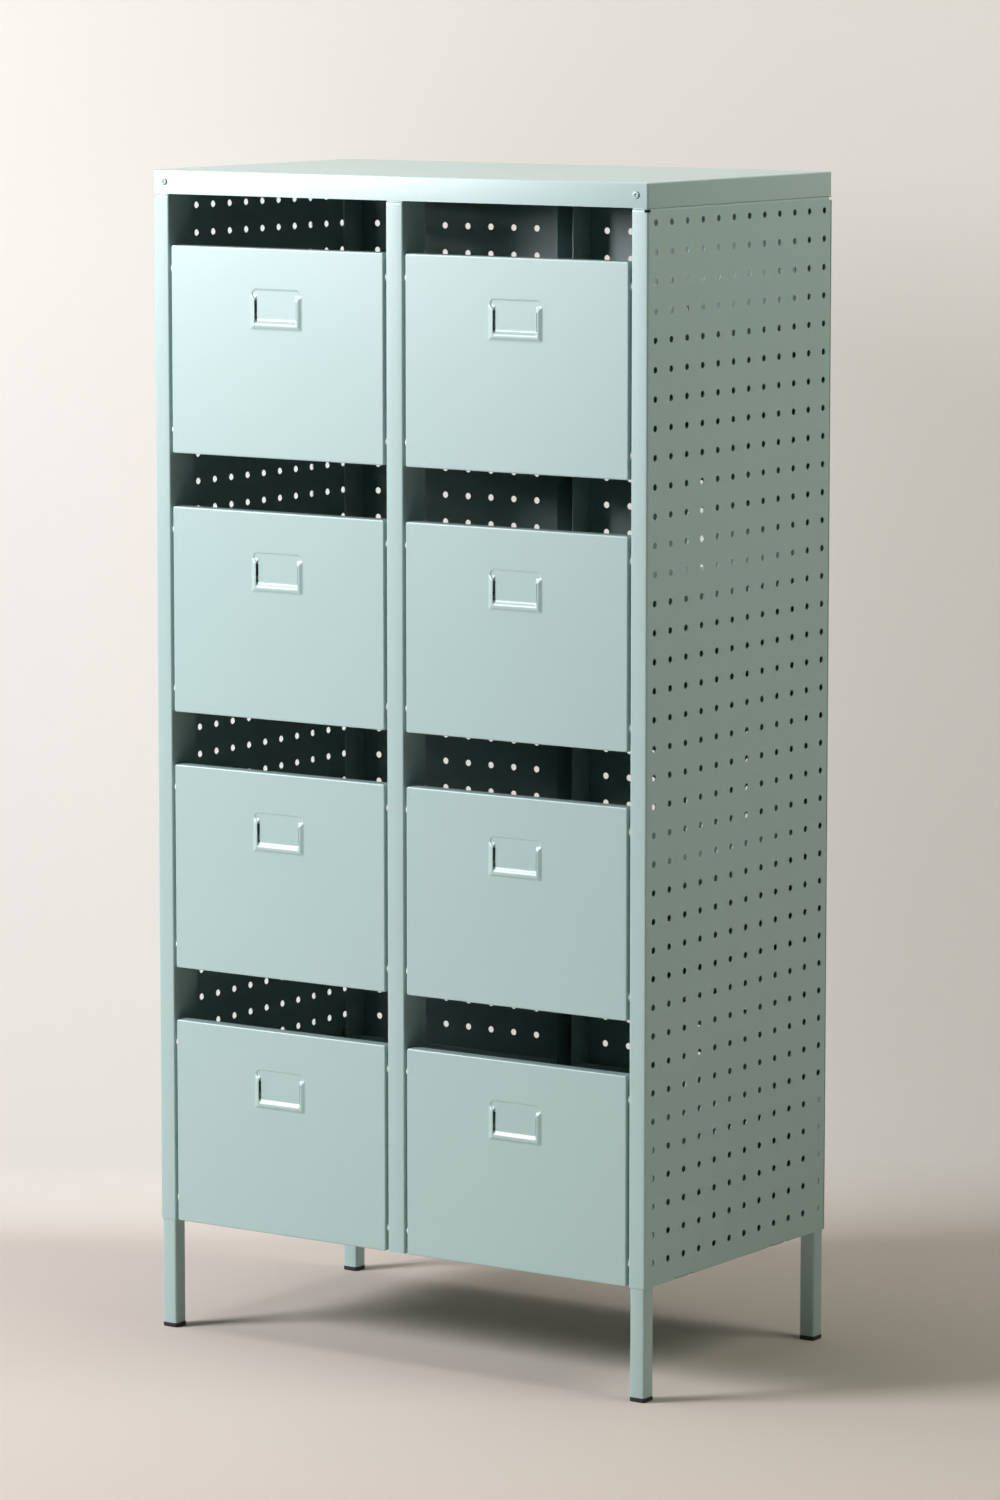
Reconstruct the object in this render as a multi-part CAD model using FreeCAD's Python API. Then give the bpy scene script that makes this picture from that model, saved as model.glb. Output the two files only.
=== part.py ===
import FreeCAD, Part
import math
import os

# Metal drawer cabinet of folded sheet steel on four square legs, in millimetres.
# The front faces -Y, the top faces +Z, and the origin lies on the floor under the middle of the cabinet.

Vector = FreeCAD.Vector

# Cabinet
cabinet_width = 526.0
cabinet_depth = 300.0
cabinet_height = 1056.0
leg_height = 101.0
drawer_rows = 4
columns = {"left": -1, "right": 1}

# Sheet, bends and clearances
sheet = 0.7
bend = 1.5
seam = 0.1
running_gap = 0.3
overrun = 5.0

# Legs and feet
leg_side = 15.0
leg_wall = 1.0
leg_corner = 1.0
leg_socket = 134.0
foot_height = 4.0
foot_proud = 0.3
foot_plug = 12.0
foot_wall = 1.8

# Corner channels and centre posts
front_channel_return = 34.0
rear_channel_return = 30.5
post_face = 18.0
notch_across = 3.5
notch_along = 4.5
notch_height = 2.4
post_hole_radius = 1.5
post_hole_inset = 13.5
post_hole_drop = 6.5

# Top
skirt = 21.5
skirt_joint = 0.5

# Bottom plate with its seat, its rear flange, and its side tabs in wider slots
floor_seat = 12.0
floor_flange = 18.0
tab_length = 18.0
tab_drop = 1.2
slot_length = 34.0
slot_height = 1.6
slot_front_inset = 45.0
slot_rear_inset = 62.0

# Perforation on a grid, of which every second row and column is cut
hole_pitch = 25.0
hole_back_pitch = 25.6
hole_radius = 3.0
hole_side_margin = 12.5
hole_back_margin = 32.0
hole_top_margin = 12.5
hole_foot_margin = 15.0
hole_step_rows = 2
hole_sides = 4

# Drawer fronts and boxes
grip_gap = 48.0
top_gap = 45.5
front_gap = 2.7
front_return = 12.0
front_corner = 2.0
front_edge = 1.0
box_lift = 6.0
box_drop = 57.0
box_rear_gap = 17.2
hem = 6.0

# Label holders pressed in the fronts
label_width = 55.0
label_height = 34.0
label_drop = 36.0
label_lip = 5.5
label_slot = 1.0
label_rim = 1.4
label_shoulder = 6.0
label_corner = 2.0
label_line = 0.9
label_line_rise = 0.5

# Glide buttons on the sides of the fronts
glide_radius = 4.2
glide_inset = 21.0
glide_sides = 6

# Runners
runner_sheet = 1.2
runner_shelf = 14.0
runner_web = 24.0

# Screws
screw_head_radius = 3.2
screw_head_height = 1.2
screw_radius = 1.6
screw_length = 7.0
screw_sides = 6
screw_first_rows = 2
screw_step_rows = 10
cap_screw_inset = 12.0
cap_screw_drop = 10.5

# Places that follow from the sizes above
half_width = cabinet_width / 2
front = -cabinet_depth / 2
rear = cabinet_depth / 2
body_rear = rear - sheet
channel_face = leg_side + 2 * (sheet + seam)
channel_inner = half_width - channel_face
post_half = post_face / 2
bay = channel_inner - post_half
bay_middle = post_half + bay / 2
skirt_foot = cabinet_height - skirt
ledge_top = skirt_foot - skirt_joint
joggle = sheet + 2 * seam
body_top = cabinet_height - sheet - seam
plate_low = leg_height + sheet + seam
plate_top = plate_low + sheet
level_pitch = (skirt_foot - top_gap + grip_gap - leg_height) / drawer_rows
front_height = level_pitch - grip_gap
front_width = bay - 2 * front_gap
box_width = front_width - 2 * (sheet + seam)
box_height = front_height - box_drop - box_lift
box_front = front + sheet + seam
box_rear = rear - box_rear_gap
runner_front = front + front_return + running_gap
runner_rear = body_rear - seam - sheet - seam
leg_outer = half_width - sheet - seam
leg_front = front + sheet + seam
leg_rear = body_rear - sheet - seam
screw_hole = screw_radius + seam


def block(x0, x1, y0, y1, z0, z1):
    """Block between two opposite corners, given in either order along x."""
    low, high = min(x0, x1), max(x0, x1)
    return Part.makeBox(high - low, y1 - y0, z1 - z0, Vector(low, y0, z0))


def direction_of(start, end):
    """Unit direction from one point of a plane to another."""
    length = math.hypot(end[0] - start[0], end[1] - start[1])
    return (end[0] - start[0]) / length, (end[1] - start[1]) / length


def rounded_wire(corners, place, smooth=True):
    """Closed wire through (u, v, radius) corners, each with an arc, or two flats where it isn't smooth."""
    spans = []
    for i, (u, v, radius) in enumerate(corners):
        following = corners[(i + 1) % len(corners)]
        into = direction_of(corners[i - 1], (u, v))
        out = direction_of((u, v), following)
        half_turn = math.acos(max(-1.0, min(1.0, into[0] * out[0] + into[1] * out[1]))) / 2
        if radius <= 0:
            spans.append([(u, v)])
            continue
        reach = radius * math.tan(half_turn)
        depth = radius / math.cos(half_turn) - radius
        inward = direction_of((0, 0), (out[0] - into[0], out[1] - into[1]))
        begin = (u - into[0] * reach, v - into[1] * reach)
        middle = (u + inward[0] * depth, v + inward[1] * depth)
        end = (u + out[0] * reach, v + out[1] * reach)
        spans.append([begin, middle, end])
    edges = []
    for i, span in enumerate(spans):
        following = spans[(i + 1) % len(spans)]
        if smooth and len(span) > 1:
            edges.append(Part.Arc(place(*span[0]), place(*span[1]), place(*span[2])).toShape())
        stops = [span[-1]] if smooth else span
        for start, end in zip(stops, stops[1:] + [following[0]]):
            edges.append(Part.LineSegment(place(*start), place(*end)).toShape())
    return Part.Wire(edges)


def folded_outline(path, thickness, radius):
    """Corners of a bent strip that lies on the left of an open path, with its bends rounded."""
    steps = [direction_of(path[i], path[i + 1]) for i in range(len(path) - 1)]
    near_side = []
    far_side = []
    for i, (u, v) in enumerate(path):
        into = steps[max(i - 1, 0)]
        out = steps[min(i, len(steps) - 1)]
        left = (-into[1] - out[1], into[0] + out[0])
        reach = thickness / (1 + into[0] * out[0] + into[1] * out[1])
        turn = into[0] * out[1] - into[1] * out[0]
        outer, inner = (radius, radius - thickness) if abs(turn) > 0 else (0, 0)
        near_radius, far_radius = (outer, inner) if turn >= 0 else (inner, outer)
        near_side.append((u, v, near_radius))
        far_side.append((u + left[0] * reach, v + left[1] * reach, far_radius))
    return near_side + far_side[::-1]


def folded_upright(path, thickness, radius, z0, z1, smooth=True):
    """Bent sheet whose bends run upwards, round or in flats; the path is given in x and y."""
    wire = rounded_wire(folded_outline(path, thickness, radius), lambda u, v: Vector(u, v, z0), smooth)
    return Part.Face(wire).extrude(Vector(0, 0, z1 - z0))


def folded_along(path, thickness, radius, y0, y1):
    """Bent sheet whose bends run from front to back, in flats; the path is given in x and z."""
    outline = folded_outline(path, thickness, radius)
    wire = rounded_wire(outline, lambda u, v: Vector(u, y0, v), smooth=False)
    return Part.Face(wire).extrude(Vector(0, y1 - y0, 0))


def prism(at, axis, radius, sides, length):
    """Straight-sided pin along an axis that lies level, with as much area as a round one of that radius."""
    reach = radius * math.sqrt(2 * math.pi / (sides * math.sin(2 * math.pi / sides)))
    across = Vector(0, 1, 0) if axis.x else Vector(1, 0, 0)
    up = Vector(0, 0, 1)
    points = []
    for i in range(sides + 1):
        angle = 2 * math.pi * (i % sides) / sides
        points.append(at + across * (reach * math.cos(angle)) + up * (reach * math.sin(angle)))
    return Part.Face(Part.makePolygon(points)).extrude(axis * length)


def mirrored(shape):
    """The same piece on the other side of the cabinet."""
    return shape.mirror(Vector(0, 0, 0), Vector(1, 0, 0))


def hole_heights():
    """Heights of all the rows of holes, from the top one down."""
    top = skirt_foot - hole_top_margin
    count = int((top - leg_height - hole_foot_margin) / hole_pitch) + 1
    return [top - i * hole_pitch for i in range(count)]


def hole_columns(span, margin, pitch):
    """Places of all the columns of holes across a sheet, about its middle."""
    count = int((span - 2 * margin) / pitch) + 1
    return [(i - (count - 1) / 2) * pitch for i in range(count)]


def back_screw_places():
    """Places (x, z) of the screws through the back sheet, half way between rows of holes."""
    middle = channel_inner + channel_face / 2
    heights = hole_heights()[screw_first_rows::screw_step_rows]
    return [(x, z - hole_pitch / 2) for z in heights for x in (-middle, middle)]


def cap_screw_places():
    """Places (x, z) of the screws through the skirt of the top, front and rear alike."""
    x = half_width - cap_screw_inset
    return [(-x, cabinet_height - cap_screw_drop), (x, cabinet_height - cap_screw_drop)]


def slot_starts():
    """Foremost points of the slots along a side's lower edge, which the plate's tabs stand in."""
    return [front + slot_front_inset, rear - slot_rear_inset - slot_length]


def corner_notch(along):
    """Cutter for the relief notch under the ledge at a right-hand corner, over a range along y."""
    top = ledge_top - sheet
    return block(half_width - notch_across, half_width + overrun, *along, top - notch_height, top)


def screw_holes(places, y0, y1):
    """Cutters for screws that run from front to back."""
    return [prism(Vector(x, y0, z), Vector(0, 1, 0), screw_hole, hole_sides, y1 - y0) for x, z in places]


def make_side_panel():
    """Right side: one sheet folded into a channel at the front and at the rear, set in under the skirt."""
    front_stop = front + front_channel_return
    rear_stop = body_rear - rear_channel_return
    lower_path = [
        (channel_inner, front_stop),
        (channel_inner, front),
        (half_width, front),
        (half_width, body_rear),
        (channel_inner, body_rear),
        (channel_inner, rear_stop),
    ]
    lower = folded_upright(lower_path, sheet, bend, leg_height, ledge_top)
    upper_path = [
        (channel_inner, front_stop),
        (channel_inner, front + joggle),
        (half_width - joggle, front + joggle),
        (half_width - joggle, body_rear),
        (channel_inner, body_rear),
        (channel_inner, rear_stop),
    ]
    upper = folded_upright(upper_path, sheet, 0, ledge_top - sheet, body_top)
    ledge_path = [(channel_inner, front), (half_width, front), (half_width, body_rear)]
    ledge = folded_upright(ledge_path, joggle + sheet, bend, ledge_top - sheet, ledge_top)
    seat = block(half_width - floor_seat, half_width - sheet, front_stop, rear_stop,
                 leg_height, leg_height + sheet)
    panel = lower.fuse([upper, ledge, seat]).removeSplitter()

    cutters = [corner_notch((front - overrun, front + notch_along))]
    cutters.append(corner_notch((rear - notch_along, rear + overrun)))
    for y in slot_starts():
        cutters.append(
            block(leg_outer - sheet - seam, half_width + overrun, y, y + slot_length,
                  leg_height - overrun, leg_height + slot_height)
        )
    for z in hole_heights()[::hole_step_rows]:
        for y in hole_columns(cabinet_depth, hole_side_margin, hole_pitch)[::hole_step_rows]:
            at = Vector(half_width - sheet - seam, y, z)
            cutters.append(prism(at, Vector(1, 0, 0), hole_radius, hole_sides, sheet + 2 * seam))
    cutters += screw_holes(back_screw_places(), body_rear - sheet - seam, rear)
    cutters += screw_holes(cap_screw_places(), body_rear - sheet - seam, rear)
    cutters += screw_holes(cap_screw_places(), front, front + joggle + sheet + seam)
    return panel.cut(cutters)


def make_back_panel():
    """Perforated back sheet on the rear faces of the side panels and of the centre post."""
    panel = block(-half_width, half_width, body_rear, rear, leg_height, ledge_top)
    cutters = screw_holes(back_screw_places(), body_rear - seam, rear + seam)
    notch = corner_notch((body_rear - seam, rear + seam))
    cutters += [notch, mirrored(notch)]
    for z in hole_heights()[::hole_step_rows]:
        for x in hole_columns(cabinet_width, hole_back_margin, hole_back_pitch)[::hole_step_rows]:
            at = Vector(x, body_rear - seam, z)
            cutters.append(prism(at, Vector(0, 1, 0), hole_radius, hole_sides, sheet + 2 * seam))
    return panel.cut(cutters)


def make_top_cap():
    """Folded top: a shallow tray turned over the body, its skirt flush with the body all round."""
    tray = block(-half_width, half_width, front, rear, skirt_foot, cabinet_height)
    rims = [e for e in tray.Edges if min(v.Z for v in e.Vertexes) > cabinet_height - seam]
    tray = tray.makeFillet(bend, rims)
    hollow = block(-half_width + sheet, half_width - sheet, front + sheet, rear - sheet,
                   skirt_foot - overrun, cabinet_height - sheet)
    cutters = screw_holes(cap_screw_places(), front - seam, front + sheet + seam)
    cutters += screw_holes(cap_screw_places(), rear - sheet - seam, rear + seam)
    return tray.cut([hollow] + cutters)


def make_base_plate():
    """Bottom sheet, notched round the channels and posts, with tabs at its sides and a flange behind."""
    plate_rear = body_rear - seam
    plate = block(-leg_outer, leg_outer, runner_front, plate_rear, plate_low, plate_top)
    flange_front = plate_rear - sheet
    flange_top = plate_low + floor_flange
    flange = block(-leg_outer, leg_outer, flange_front, plate_rear, plate_low, flange_top)
    additions = [flange]
    for slot_start in slot_starts():
        y = slot_start + (slot_length - tab_length) / 2
        tab = block(leg_outer - sheet, leg_outer, y, y + tab_length, plate_low - tab_drop, plate_top)
        additions += [tab, mirrored(tab)]
    plate = plate.fuse(additions).removeSplitter()

    cutters = []
    low = leg_height - overrun
    high = flange_top + overrun
    front_edge_y = front + front_channel_return + seam
    rear_edge_y = body_rear - rear_channel_return - seam
    for side in columns.values():
        inner = side * (channel_inner - seam)
        outer = side * (half_width + overrun)
        cutters.append(block(inner, outer, front, front_edge_y, low, high))
        cutters.append(block(inner, outer, rear_edge_y, rear, low, high))
    post = post_half + seam
    cutters.append(block(-post, post, front, front_edge_y, low, high))
    cutters.append(block(-post, post, rear_edge_y, rear, low, high))
    return plate.cut(cutters)


def make_front_post():
    """Front centre post: a channel open to the rear, set in under the skirt like the side panels."""
    stop = front + front_channel_return
    lower_path = [(-post_half, stop), (-post_half, front), (post_half, front), (post_half, stop)]
    step = front + joggle
    upper_path = [(-post_half, stop), (-post_half, step), (post_half, step), (post_half, stop)]
    lower = folded_upright(lower_path, sheet, bend, leg_height, ledge_top)
    upper = folded_upright(upper_path, sheet, 0, ledge_top - sheet, body_top)
    ledge_half = post_half - sheet
    ledge_rear = front + joggle + sheet
    ledge = block(-ledge_half, ledge_half, front, ledge_rear, ledge_top - sheet, ledge_top)
    post = lower.fuse([upper, ledge]).removeSplitter()
    at = Vector(-post_face, front + post_hole_inset, skirt_foot - post_hole_drop)
    return post.cut(prism(at, Vector(1, 0, 0), post_hole_radius, hole_sides, 2 * post_face))


def make_rear_post():
    """Rear centre post: the same channel in flats, open to the front, its back against the back sheet."""
    back = body_rear - seam
    stop = back - rear_channel_return
    path = [(post_half, stop), (post_half, back), (-post_half, back), (-post_half, stop)]
    return folded_upright(path, sheet, bend, leg_height, body_top, smooth=False)


def leg_ranges(side, end):
    """Ranges of a leg in x and y; side is -1 for left or 1 for right, end -1 for front or 1 for rear."""
    x0, x1 = sorted((side * leg_outer, side * (leg_outer - leg_side)))
    y0 = leg_front if end < 0 else leg_rear - leg_side
    return x0, x1, y0, y0 + leg_side


def make_leg(side, end):
    """Square tube leg that stands up inside its corner channel."""
    x0, x1, y0, y1 = leg_ranges(side, end)
    high = leg_height + leg_socket
    tube = block(x0, x1, y0, y1, foot_height, high)
    uprights = [e for e in tube.Edges if e.Length > high / 2]
    tube = tube.makeChamfer(leg_corner, uprights)
    bore_low, bore_high = foot_height - overrun, high + overrun
    bore = block(x0 + leg_wall, x1 - leg_wall, y0 + leg_wall, y1 - leg_wall, bore_low, bore_high)
    holes = screw_holes(back_screw_places(), leg_rear - leg_wall - seam, rear)
    return tube.cut([bore] + holes)


def make_foot(side, end):
    """Moulded foot: a cap under the tube with a hollow plug that stands up inside it."""
    x0, x1, y0, y1 = leg_ranges(side, end)
    cap = block(x0 - foot_proud, x1 + foot_proud, y0 - foot_proud, y1 + foot_proud, 0, foot_height)
    uprights = [e for e in cap.Edges if e.Length < leg_side]
    cap = cap.makeChamfer(leg_corner, uprights)
    outside = leg_wall + seam
    inside = outside + foot_wall
    high = foot_height + foot_plug
    plug = block(x0 + outside, x1 - outside, y0 + outside, y1 - outside, foot_height, high)
    hollow = block(x0 + inside, x1 - inside, y0 + inside, y1 - inside, foot_height, high)
    return cap.fuse(plug.cut(hollow)).removeSplitter()


def make_label_holder(x_mid, top):
    """Pressed label holder: a raised U with a lip along its inner side, behind which a card slides down."""
    foot = top - label_height
    x0, x1 = x_mid - label_width / 2, x_mid + label_width / 2
    face = front - label_slot - sheet
    shoulder = top - label_shoulder
    outline = [
        (x0, foot, label_corner),
        (x1, foot, label_corner),
        (x1, shoulder, 0),
        (x1 - label_lip, top, 0),
        (x1 - label_lip, foot + label_lip, 0),
        (x0 + label_lip, foot + label_lip, 0),
        (x0 + label_lip, top, 0),
        (x0, shoulder, 0),
    ]
    wire = rounded_wire(outline, lambda u, v: Vector(u, face, v), smooth=False)
    raised = Part.Face(wire).extrude(Vector(0, front + sheet - face, 0))
    slot = block(x0 + label_rim, x1 - label_rim, front - label_slot, front, foot + label_rim, top + overrun)
    line_front = front - label_line_rise
    line = block(x0 + label_lip, x1 - label_lip, line_front, front + sheet, top - label_line, top)
    return raised.cut(slot).fuse(line)


def front_corners(x_mid, z_low, inset):
    """Rounded corners of a front's outline, or of the hollow behind it at the given inset."""
    x0, x1 = x_mid - front_width / 2 + inset, x_mid + front_width / 2 - inset
    z0, z1 = z_low + inset, z_low + front_height - inset
    radius = front_corner - inset
    return [(x0, z0, radius), (x1, z0, radius), (x1, z1, radius), (x0, z1, radius)]


def make_front(x_mid, z_low):
    """Drawer front: a tray of sheet with its edges turned back, its label holder pressed in the face."""
    outside = front_corners(x_mid, z_low, 0)
    outline = rounded_wire(outside, lambda u, v: Vector(u, front, v), smooth=False)
    tray = Part.Face(outline).extrude(Vector(0, front_return, 0))
    rims = [e for e in tray.Edges if max(v.Y for v in e.Vertexes) < front + seam]
    tray = tray.makeChamfer(front_edge, rims)
    inside = front_corners(x_mid, z_low, sheet)
    inner_outline = rounded_wire(inside, lambda u, v: Vector(u, front + sheet, v), smooth=False)
    hollow = Part.Face(inner_outline).extrude(Vector(0, front_return, 0))
    holder = make_label_holder(x_mid, z_low + front_height - label_drop)
    return tray.cut(hollow).fuse(holder).removeSplitter()


def make_glides(x_mid, z_low):
    """Four buttons on the sides of a front, which guide it between the posts."""
    buttons = []
    for side in columns.values():
        for z in (z_low + glide_inset, z_low + front_height - glide_inset):
            at = Vector(x_mid + side * front_width / 2, front + front_return / 2, z)
            length = front_gap - running_gap
            buttons.append(prism(at, Vector(side, 0, 0), glide_radius, glide_sides, length))
    return Part.makeCompound(buttons)


def make_box(x_mid, z_low):
    """Open drawer box, lower than its front, with its top edges doubled over inwards."""
    x0, x1 = x_mid - box_width / 2, x_mid + box_width / 2
    y1 = box_rear
    z0 = z_low + box_lift
    z1 = z0 + box_height
    doubled = 2 * sheet
    walls = block(x0, x1, box_front, y1, z0, z1)
    hollow = block(x0 + sheet, x1 - sheet, box_front + sheet, y1 - sheet, z0 + sheet, z1 - hem)
    mouth = block(x0 + doubled, x1 - doubled, box_front + doubled, y1 - doubled, z1 - hem, z1)
    return walls.cut([hollow, mouth])


def make_runner(x_wall, side, z_low):
    """Angle runner: its web stands against a post's face and its shelf lies under the drawer box."""
    low = z_low + box_lift - running_gap - runner_sheet
    web = x_wall + side * seam
    shelf = x_wall + side * runner_shelf
    path = [(web, low + runner_web), (web, low), (shelf, low)]
    if side < 0:
        path = path[::-1]
    return folded_along(path, runner_sheet, 2 * runner_sheet, runner_front, runner_rear)


def make_screws(places, y, axis):
    """Screws from y inwards along an axis, each a low head with a shank."""
    screws = []
    for x, z in places:
        at = Vector(x, y, z)
        head = prism(at, axis * -1, screw_head_radius, screw_sides, screw_head_height)
        shank = prism(at, axis, screw_radius, hole_sides, screw_length)
        screws.append(head.fuse(shank))
    return screws


def build():
    """Every piece of the cabinet by name."""
    right_panel = make_side_panel()
    pieces = {
        "right_side_panel": right_panel,
        "left_side_panel": mirrored(right_panel),
        "back_panel": make_back_panel(),
        "top_cap": make_top_cap(),
        "base_plate": make_base_plate(),
        "front_centre_post": make_front_post(),
        "rear_centre_post": make_rear_post(),
    }
    for column, side in columns.items():
        for end_name, end in (("front", -1), ("rear", 1)):
            pieces[f"{end_name}_{column}_leg"] = make_leg(side, end)
            pieces[f"{end_name}_{column}_foot"] = make_foot(side, end)
        for row in range(drawer_rows):
            number = drawer_rows - row
            z_low = leg_height + row * level_pitch
            x_mid = side * bay_middle
            pieces[f"drawer_front_{column}_{number}"] = make_front(x_mid, z_low)
            pieces[f"drawer_box_{column}_{number}"] = make_box(x_mid, z_low)
            pieces[f"drawer_glides_{column}_{number}"] = make_glides(x_mid, z_low)
            pieces[f"runner_inner_{column}_{number}"] = make_runner(side * post_half, side, z_low)
            pieces[f"runner_outer_{column}_{number}"] = make_runner(side * channel_inner, -side, z_low)
    cap_screws = make_screws(cap_screw_places(), front, Vector(0, 1, 0))
    cap_screws += make_screws(cap_screw_places(), rear, Vector(0, -1, 0))
    pieces["cap_screws"] = Part.makeCompound(cap_screws)
    pieces["back_screws"] = Part.makeCompound(make_screws(back_screw_places(), rear, Vector(0, -1, 0)))
    return pieces


os.makedirs("parts", exist_ok=True)
for name, shape in build().items():
    shape.exportStep(f"parts/{name}.step")
    print(f"{name}: {len(shape.Solids)} solids, {shape.Volume:.0f} cubic mm, valid {shape.isValid()}")
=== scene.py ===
import logging
import math
from dataclasses import dataclass, field
from enum import Enum
from typing import Callable, Sequence

import bpy
import numpy as np
from numpy.typing import NDArray
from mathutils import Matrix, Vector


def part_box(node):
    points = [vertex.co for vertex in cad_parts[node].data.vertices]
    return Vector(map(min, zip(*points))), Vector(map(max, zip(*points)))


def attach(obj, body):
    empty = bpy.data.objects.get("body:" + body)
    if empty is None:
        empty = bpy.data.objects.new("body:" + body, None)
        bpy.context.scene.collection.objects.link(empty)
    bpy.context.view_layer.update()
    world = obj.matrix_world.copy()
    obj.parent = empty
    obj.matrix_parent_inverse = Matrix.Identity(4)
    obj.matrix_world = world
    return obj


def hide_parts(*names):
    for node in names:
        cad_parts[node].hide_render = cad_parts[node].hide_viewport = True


# A metal drawer cabinet of folded, powder-coated sheet, dressed around its packed construction.
# Sizes are in millimetres, and points become metres where a mesh is made.

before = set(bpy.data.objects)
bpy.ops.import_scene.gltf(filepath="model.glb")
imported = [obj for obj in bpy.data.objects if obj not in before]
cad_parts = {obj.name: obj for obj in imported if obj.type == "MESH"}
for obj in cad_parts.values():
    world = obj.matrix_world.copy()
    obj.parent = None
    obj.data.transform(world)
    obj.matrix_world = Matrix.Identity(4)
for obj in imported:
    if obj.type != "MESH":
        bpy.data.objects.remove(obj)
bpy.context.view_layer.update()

MILLIMETRE = 0.001
SAME_POINT = 1e-6
Array = NDArray[np.float64]
Indices = NDArray[np.int64]
Bending = Callable[[Array, Array], tuple[Array, Array]]

logging.basicConfig(level=logging.INFO, format="%(message)s")
log = logging.getLogger("cabinet")


class Side(Enum):
    """Left or right half of the cabinet, as the sign of x there."""

    LEFT = -1
    RIGHT = 1


class Plane(Enum):
    """Plane in which a sheet is bent, as the number of the axis that its bends run along."""

    SIDE = 0
    FACE = 1
    PLAN = 2


class Slot(Enum):
    """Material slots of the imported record."""

    POWDER_COAT = "powder_coat"
    FOOT = "foot_plastic"
    GLIDE = "glide_plastic"
    SCREW = "screw_steel"


def node_box(node: str) -> tuple[Array, Array]:
    """Finds where a piece of the frame lies.

    Args:
        node: Name of the piece in the frame.

    Returns:
        Its lowest and highest corner, in millimetres.
    """
    low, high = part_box(node)
    return np.array(low) / MILLIMETRE, np.array(high) / MILLIMETRE


def ramp(value: Array, width: float) -> Array:
    """Rises smoothly from 0 to 1 while the value goes from 0 to a width: 3t^2 - 2t^3 of the share t.

    Args:
        value: Distances past the start of the rise.
        width: Distance over which it rises.

    Returns:
        Numbers from 0 to 1.
    """
    share = np.clip(value / width, 0.0, 1.0)
    return share * share * (3 - 2 * share)


def unit(vectors: Array) -> Array:
    """Gives vectors the length 1."""
    return vectors / np.linalg.norm(vectors, axis=-1, keepdims=True)


@dataclass
class Skin:
    """One side of a piece: points, the way each faces, and faces that turn anticlockwise seen from outside."""

    points: Array
    normals: Array
    quads: Indices
    polygons: list[Indices] = field(default_factory=list)

    def faces(self) -> list[Indices]:
        """Every face array: the quads as one, then each polygon."""
        return [self.quads] + [polygon[None, :] for polygon in self.polygons]

    def rim(self) -> Indices:
        """Finds the edges that only one face uses.

        Returns:
            Pairs of point numbers, in the direction in which that face uses them.
        """
        edges = np.concatenate([
            np.stack([f, np.roll(f, -1, axis=1)], axis=-1).reshape(-1, 2) for f in self.faces() if f.size
        ])
        ordered = np.sort(edges, axis=1)
        key = ordered[:, 0] * len(self.points) + ordered[:, 1]
        _, first, count = np.unique(key, return_index=True, return_counts=True)
        return edges[first[count == 1]]

    def thickened(self, sheet: float) -> "Skin":
        """Gives the skin a wall: a second skin lies a sheet's thickness inside, along the normals.

        Args:
            sheet: Thickness of the sheet.

        Returns:
            The closed wall, with a strip of quads along every free edge.
        """
        count = len(self.points)
        edges = self.rim()
        strips = np.stack([edges[:, 1], edges[:, 0], edges[:, 0] + count, edges[:, 1] + count], axis=1)
        return Skin(
            np.concatenate([self.points, self.points - self.normals * sheet]),
            np.concatenate([self.normals, -self.normals]),
            np.concatenate([self.quads, self.quads[:, ::-1] + count, strips]),
            self.polygons + [polygon[::-1] + count for polygon in self.polygons],
        )

    def mirrored(self) -> "Skin":
        """Reflects the skin in the plane x = 0.

        Returns:
            The skin on the other side, with its faces turned back outwards.
        """
        flip = np.array([-1.0, 1.0, 1.0])
        return Skin(self.points * flip, self.normals * flip, self.quads[:, ::-1],
                    [polygon[::-1] for polygon in self.polygons])

    def placed(self, matrix: Array, origin: Sequence[float]) -> "Skin":
        """Turns the skin by a rotation matrix and moves its own origin to a point.

        Args:
            matrix: Rows are the directions of the new x, y and z in the skin's own frame.
            origin: Where the skin's origin goes.

        Returns:
            The skin in its place.
        """
        return Skin(self.points @ matrix.T + np.array(origin), self.normals @ matrix.T,
                    self.quads, self.polygons)


def joined(skins: Sequence[Skin]) -> Skin:
    """Puts several skins into one list of points and faces.

    Args:
        skins: The skins, each complete by itself.

    Returns:
        One skin that holds them all.
    """
    starts = np.cumsum([0] + [len(skin.points) for skin in skins[:-1]])
    polygons = [polygon + start for skin, start in zip(skins, starts) for polygon in skin.polygons]
    return Skin(
        np.concatenate([skin.points for skin in skins]),
        np.concatenate([skin.normals for skin in skins]),
        np.concatenate([skin.quads + start for skin, start in zip(skins, starts)]),
        polygons,
    )


@dataclass(frozen=True)
class Section:
    """Outer line of a bent sheet in its own plane: distance along it, points and outward normals."""

    along: Array
    points: Array
    normals: Array

    def at(self, along: Array) -> tuple[Array, Array]:
        """Reads the line between its key points.

        Args:
            along: Distances along the line.

        Returns:
            Points and unit normals there, two numbers each.
        """
        points = np.stack([np.interp(along, self.along, self.points[:, i]) for i in (0, 1)], axis=-1)
        normals = np.stack([np.interp(along, self.along, self.normals[:, i]) for i in (0, 1)], axis=-1)
        return points, unit(normals)


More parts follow.
